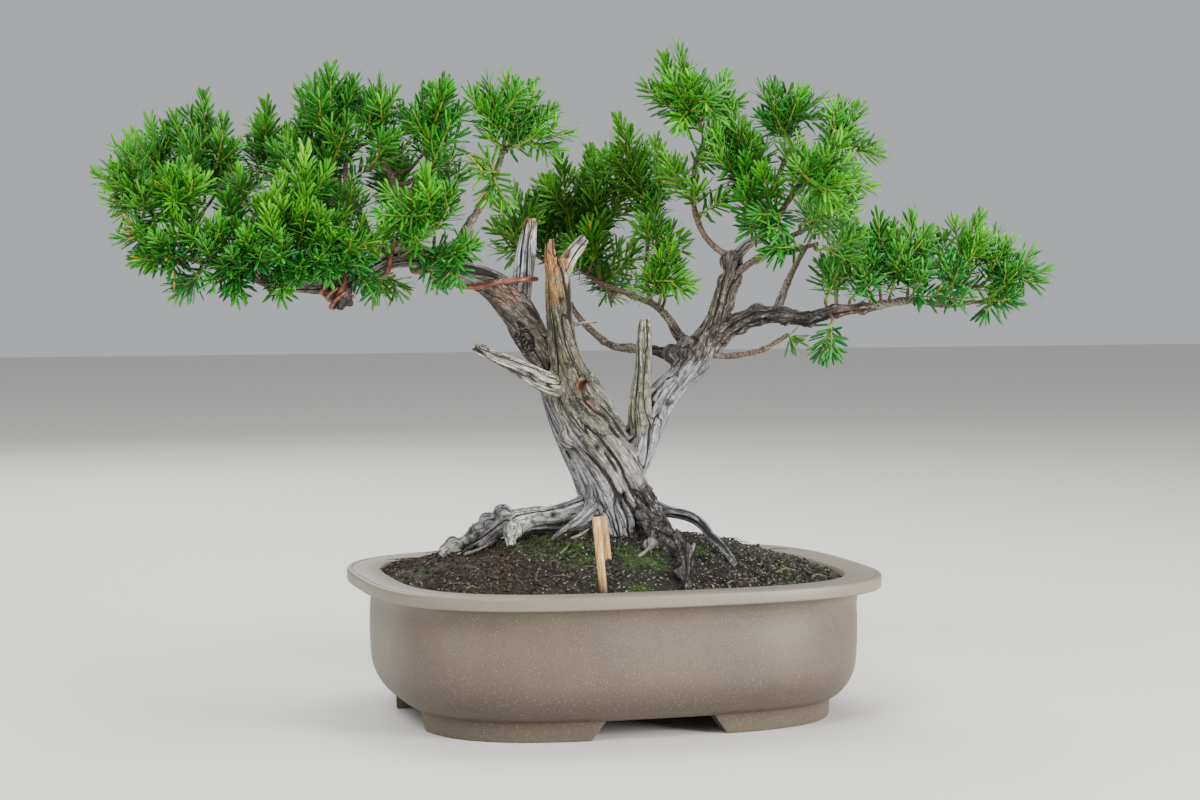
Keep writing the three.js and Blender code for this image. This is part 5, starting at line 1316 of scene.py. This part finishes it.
def make_wire(material):
    rows = LIMBS["left_limb"]
    radii = np.array([row[3] for row in rows], float)
    line = spline(seen(rows), np.linspace(0, 1, 401))
    _, side, over = frames_along(line)
    k = round(WIRE_FROM * 400)
    turns = np.linspace(0, 2 * math.pi, 73)
    ring = side[k] * np.cos(turns)[:, None] + over[k] * np.sin(turns)[:, None]
    first = turns[np.argmax(as_seen(line[k] + ring)[:, 2])]
    # From the back the wire goes on over the top.
    upward = side[k] * -math.sin(first) + over[k] * math.cos(first)
    sense = 1 if upward[2] > 0 else -1
    path = [seen_pixel(*row) for row in WIRE_END]
    count = WIRE_TURNS * WIRE_STEPS
    for i in range(count + 1):
        t = WIRE_FROM + (WIRE_TO - WIRE_FROM) * i / count
        k = round(t * 400)
        angle = first + sense * 2 * math.pi * WIRE_TURNS * i / count
        r = np.interp(t * (len(rows) - 1), np.arange(len(rows)), radii) * 1.05 + WIRE_RADIUS + 0.35
        path.append(line[k] + r * (side[k] * math.cos(angle) + over[k] * math.sin(angle)))
    smooth = spline(np.array(path), np.linspace(0, 1, len(path) * 7))
    radius = np.full(len(smooth), WIRE_RADIUS)
    radius[[0, -1]] *= 0.8
    shape = Shape()
    shape.tube(smooth, radius, 12)
    # A short second wire wound round the knob under the limb.
    low, high = seen_pixel(344, 306, -10), seen_pixel(330, 286, -8)
    axis = unit(high - low)
    across = unit(np.cross(axis, FRONT))
    ahead = np.cross(axis, across)
    wound = []
    for share, turn in zip(np.linspace(0.1, 1, 28), np.linspace(0, 5.4 * math.pi, 28)):
        r = 8.6 + 1.2 * math.cos(2.3 * turn)
        wound.append(low + (high - low) * share + (across * math.cos(turn) + ahead * math.sin(turn)) * r)
    shape.tube(spline(np.array(wound), np.linspace(0, 1, 190)), np.full(190, WIRE_RADIUS * 0.8), 10)
    finish_piece(shape.build("training_wire_looks"), material, "copper_coloured_wire", "training_wire")


# Soil

def soil_height(share):
    """The dome's height at a share, 0 in the middle and 1 at the wall, of the way out."""
    return SOIL_EDGE + SOIL_RISE * (1 - share ** SOIL_POWER)


def uneven(spots):
    """The rise and fall of the soil's surface."""
    return 2.2 * noise(spots / 14, 51) + 1.3 * noise(spots / 6, 52)


def soil_body(shape):
    """The filling: a domed, uneven top, then the wall and floor that rest in the pot."""
    shares = np.concatenate([np.linspace(0.012, 0.93, 58), [0.955, 0.975, 0.99]])
    wall = LIP_WIDTH + SOIL_GAP
    levels = [(outline(wall, 220) * share, soil_height(share)) for share in shares]
    levels += [(outline(wall, 220), SOIL_EDGE - 1.5), (outline(wall, 220), FLOOR_TOP + 14 + SOIL_GAP),
               (outline(FLOOR_INSET + SOIL_GAP, 220), FLOOR_TOP + SOIL_GAP)]
    rings = np.array([np.column_stack([flat, np.full(220, height)]) for flat, height in levels])
    top = rings[:-2]
    loose = np.minimum(1, (1 - np.concatenate([shares, [1]])) * 9)[:, None]
    rough = uneven(top) + 0.8 * noise(top / 2.6, 53)
    top[..., 2] += rough * loose - 0.6 * loose
    shift = np.array([POT_X, POT_Y, 0])
    shape.loft(rings[::-1] + shift, np.array([0, 0, FLOOR_TOP + SOIL_GAP]) + shift,
               np.array([0, 0, soil_height(0)]) + shift, warm=0, pale=0, moss=0, seed=0)
    points = shape.points[0]
    shape.values["warm"][0] = smooth_step(20, -60, as_seen(points)[:, 0] + 25 * noise(points / 30, 54)) * 0.45
    shape.values["moss"][0] = moss_at(points) * 0.5


def soil_spots(random, count):
    """Random places spread evenly over the dome."""
    share = np.sqrt(random.uniform(0.02, 0.985, count))
    flat = outline_at(random.uniform(0, 2 * math.pi, count), LIP_WIDTH + SOIL_GAP) * share[:, None]
    spots = np.column_stack([flat, soil_height(share)])
    fall = np.minimum(1, (1 - share) * 9)
    spots[:, 2] += uneven(spots) * fall - 0.6 * fall
    return spots + np.array([POT_X, POT_Y, 0])


# How many places are tried for each kind of bit.
CRUMBS, GRIT, MOSS_TUFTS, FIBRES = 4600, 620, 9000, 900
# Orange seeds and old leaves: [pixel across, pixel down, radius, pale, seed].
SEEDS = [[713, 587, 1.9, 0.5, 0.5], [709, 584, 1.3, 0.6, 0.3], [740, 576, 1.2, 0, 0.8], [744, 580, 1, 0, 0.6]]


def make_soil(material):
    random = np.random.default_rng(77)
    shape = Shape()
    soil_body(shape)
    seed_ball = new_piece(bpy.ops.mesh.primitive_ico_sphere_add, subdivisions=1, radius=1)
    ball = points_of(seed_ball.data)
    ball_faces = np.array([list(p.vertices) for p in seed_ball.data.polygons])
    bpy.data.objects.remove(seed_ball)

    def crumbs(spots, sizes, flat, **values):
        count = len(spots)
        axes, _ = np.linalg.qr(random.normal(size=(count, 3, 3)))
        axes *= np.sign(np.linalg.det(axes))[:, None, None]
        knobbly = ball[None] * random.uniform(0.72, 1.15, (count, len(ball), 1)) * [1, 0.8, 1]
        knobbly = knobbly * np.stack([np.ones(count), np.ones(count), flat], -1)[:, None]
        turned = np.einsum("nij,nkj->nki", axes, knobbly) * sizes[:, None, None] + spots[:, None]
        base = (np.arange(count) * len(ball))[:, None, None]
        values = {key: np.repeat(np.broadcast_to(value, count), len(ball)) for key, value in values.items()}
        shape.add(turned, [(base + ball_faces[None]).reshape(-1, 3)], **values)

    spots = soil_spots(random, CRUMBS)
    left = smooth_step(10, -60, as_seen(spots)[:, 0])
    crumbs(spots + [0, 0, 0.4], random.uniform(0.5, 1, CRUMBS) ** 2 * 2.6, random.uniform(0.35, 1, CRUMBS),
           warm=left * random.uniform(0, 1, CRUMBS) ** 1.5, pale=random.uniform(0, 0.12, CRUMBS), moss=0,
           seed=0)
    spots = soil_spots(random, GRIT)
    crumbs(spots + [0, 0, 0.6], random.uniform(0.35, 1.1, GRIT), random.uniform(0.5, 1, GRIT), warm=0.2,
           pale=random.uniform(0.3, 1, GRIT), moss=0, seed=0)
    spots = np.array([front_of_soil(px, py) for px, py, *_ in SEEDS])
    sizes, pale, seed = np.array(SEEDS)[:, 2:].T
    crumbs(spots + [0, 0, 0.8], sizes, np.full(len(SEEDS), 0.6), warm=0, pale=pale, moss=0, seed=seed)
    spots = soil_spots(random, MOSS_TUFTS)
    spots = spots[moss_at(spots) > random.uniform(0.25, 0.9, MOSS_TUFTS)]
    crumbs(spots + [0, 0, 0.5], random.uniform(0.4, 1.1, len(spots)), random.uniform(0.8, 2.2, len(spots)),
           warm=0, pale=0, moss=random.uniform(0.55, 1, len(spots)), seed=0)

    spots = soil_spots(random, FIBRES)
    for spot in spots[as_seen(spots)[:, 0] < random.uniform(-120, 160, FIBRES)]:
        length = random.uniform(5, 19)
        turn = random.uniform(0, 2 * math.pi)
        way = np.array([math.cos(turn), math.sin(turn), random.uniform(-0.1, 0.25)])
        bend = np.array([random.normal() * 0.3, random.normal() * 0.3, -0.25]) * length
        line = bezier([spot + [0, 0, 0.3], spot + way * length * 0.5 + [0, 0, 1.6],
                       spot + way * length + bend * 0.5], np.linspace(0, 1, 6))
        line[:, 2] = np.maximum(line[:, 2], SOIL_EDGE + 1)
        pale = 0.35 * (random.random() < 0.2)
        shape.tube(line, np.linspace(1, 0.45, 6) * random.uniform(0.28, 0.6), 4, warm=random.uniform(0.6, 1),
                   pale=pale, moss=0, seed=0)
    for table, thick, pale, moss in ((LOOSE_TWIGS, 1.4, 0.55, 0), (FALLEN_NEEDLES, 1.0, 0.6, 0.7)):
        for rows in table:
            line = np.array([front_of_soil(px, py) + [0, 0, lift] for px, py, lift in rows])
            line = spline(line, np.linspace(0, 1, 12))
            shape.tube(line, np.linspace(thick, thick * 0.45, 12), 6, warm=0.3, pale=pale, moss=moss, seed=0)
    finish_piece(shape.build("soil_looks"), material, "soil", "soil")


# Moss: [pixel across, pixel down, radius].
MOSS = [[532, 541, 26], [560, 547, 30], [590, 549, 22], [636, 556, 20], [655, 560, 14], [786, 573, 6],
        [700, 548, 12], [415, 574, 12], [640, 590, 10]]
# Dry twigs that lie on the soil: [pixel across, pixel down, height over the soil].
LOOSE_TWIGS = [[[464, 556, 1], [480, 552, 2.5], [497, 546, 5]], [[571, 540, 1], [580, 540, 4], [589, 538, 7]],
               [[638, 558, 1], [646, 556, 4], [653, 556, 11]], [[694, 552, 6], [690, 560, 3], [684, 566, 1]]]
FALLEN_NEEDLES = [
    [[776, 574, 1.5], [785, 572, 2.5], [796, 573, 2]], [[727, 586, 1.5], [731, 584, 2], [736, 583, 1.5]],
    [[782, 568, 1.5], [787, 572, 2.5], [791, 577, 1.5]], [[466, 591, 1.5], [471, 589, 2], [477, 590, 1.5]],
    [[812, 579, 1.5], [818, 577, 2], [825, 578, 1.5]], [[560, 556, 1.5], [566, 552, 3], [570, 547, 3]]]


def front_of_soil(px, py):
    """The point of the soil's dome that a pixel shows."""
    eye, target = seen(EYE), seen_pixel(px, py, 0)
    line = eye + (target - eye) * np.linspace(0.9, 1.1, 801)[:, None]
    flat = np.abs(line[:, :2] - [POT_X, POT_Y]) / [POT_HALF_LENGTH - LIP_WIDTH, POT_HALF_WIDTH - LIP_WIDTH]
    share = np.clip((flat ** CORNER_POWER).sum(1), 0, 1) ** (1 / CORNER_POWER)
    return line[int(np.argmax(line[:, 2] <= soil_height(share)))]


def moss_at(points):
    """How mossy each point is, from 0 to 1."""
    found = np.zeros(len(points))
    edge = 0.4 * noise(points / 7, 55)
    for px, py, radius in MOSS:
        away = np.linalg.norm((points - front_of_soil(px, py)) * [1, 0.8, 1], axis=1)
        found = np.maximum(found, smooth_step(1.2, 0.6, away / radius + edge))
    return found * (points[:, 2] > SOIL_EDGE - 1)


# Build

make_pot(clay_finish())
make_screens(mesh_finish())
make_soil(soil_finish())
finish_piece(sculpt_wood(), bark_finish(), "yew_wood", "tree_wood")
twigs = Shape()
fine_stems(twigs)
make_foliage(twigs, needle_finish())
finish_piece(twigs.build("fine_twigs"), twig_finish(), "yew_wood")
make_wire(wire_finish())
make_sticks(bamboo_finish())


# Floor, light and camera

floor = new_piece(bpy.ops.mesh.primitive_plane_add, size=14)
floor.name = floor.data.name = "studio_floor"
floor.data.materials.append(floor_finish())


def soft_light(name, across, up, back, size, power):
    """A square lamp that faces the tree, placed as the eye before the pot sees it, in metres and watts."""
    lamp = bpy.data.lights.new(name, "AREA")
    lamp.size, lamp.energy = size, power
    holder = bpy.data.objects.new(name, lamp)
    bpy.context.scene.collection.objects.link(holder)
    holder.location = (across * TURN_COS + back * TURN_SIN, back * TURN_COS - across * TURN_SIN, up)
    aim = Vector((0, 0, 0.25)) - holder.location
    holder.rotation_euler = aim.to_track_quat("-Z", "Y").to_euler()


soft_light("key_light", -0.9, 2.0, -1.9, 1.2, 60)
soft_light("left_light", -1.5, 0.45, -1.3, 0.6, 12)
soft_light("right_light", 1.8, 0.6, -1.2, 0.8, 84)
soft_light("top_light", 0.2, 2.4, 0.6, 1.4, 46)
soft_light("back_light", -0.9, 1.5, 2.0, 1.4, 30)

world = bpy.data.worlds.new("studio")
world.use_nodes = True
sky = world.node_tree.nodes["Background"].inputs
sky["Color"].default_value = linear("#e9ecef")
sky["Strength"].default_value = 0.58
bpy.context.scene.world = world

lens = bpy.data.cameras.new("camera")
lens.sensor_width = 36
lens.lens = lens.sensor_width * FOCAL_PIXELS / PICTURE_WIDTH
lens.clip_end = 50
camera = bpy.data.objects.new("camera", lens)
bpy.context.scene.collection.objects.link(camera)
camera.location = seen(EYE) * MM
camera.rotation_euler = (math.pi / 2 - EYE_PITCH, 0, -POT_TURN)
bpy.context.scene.camera = camera
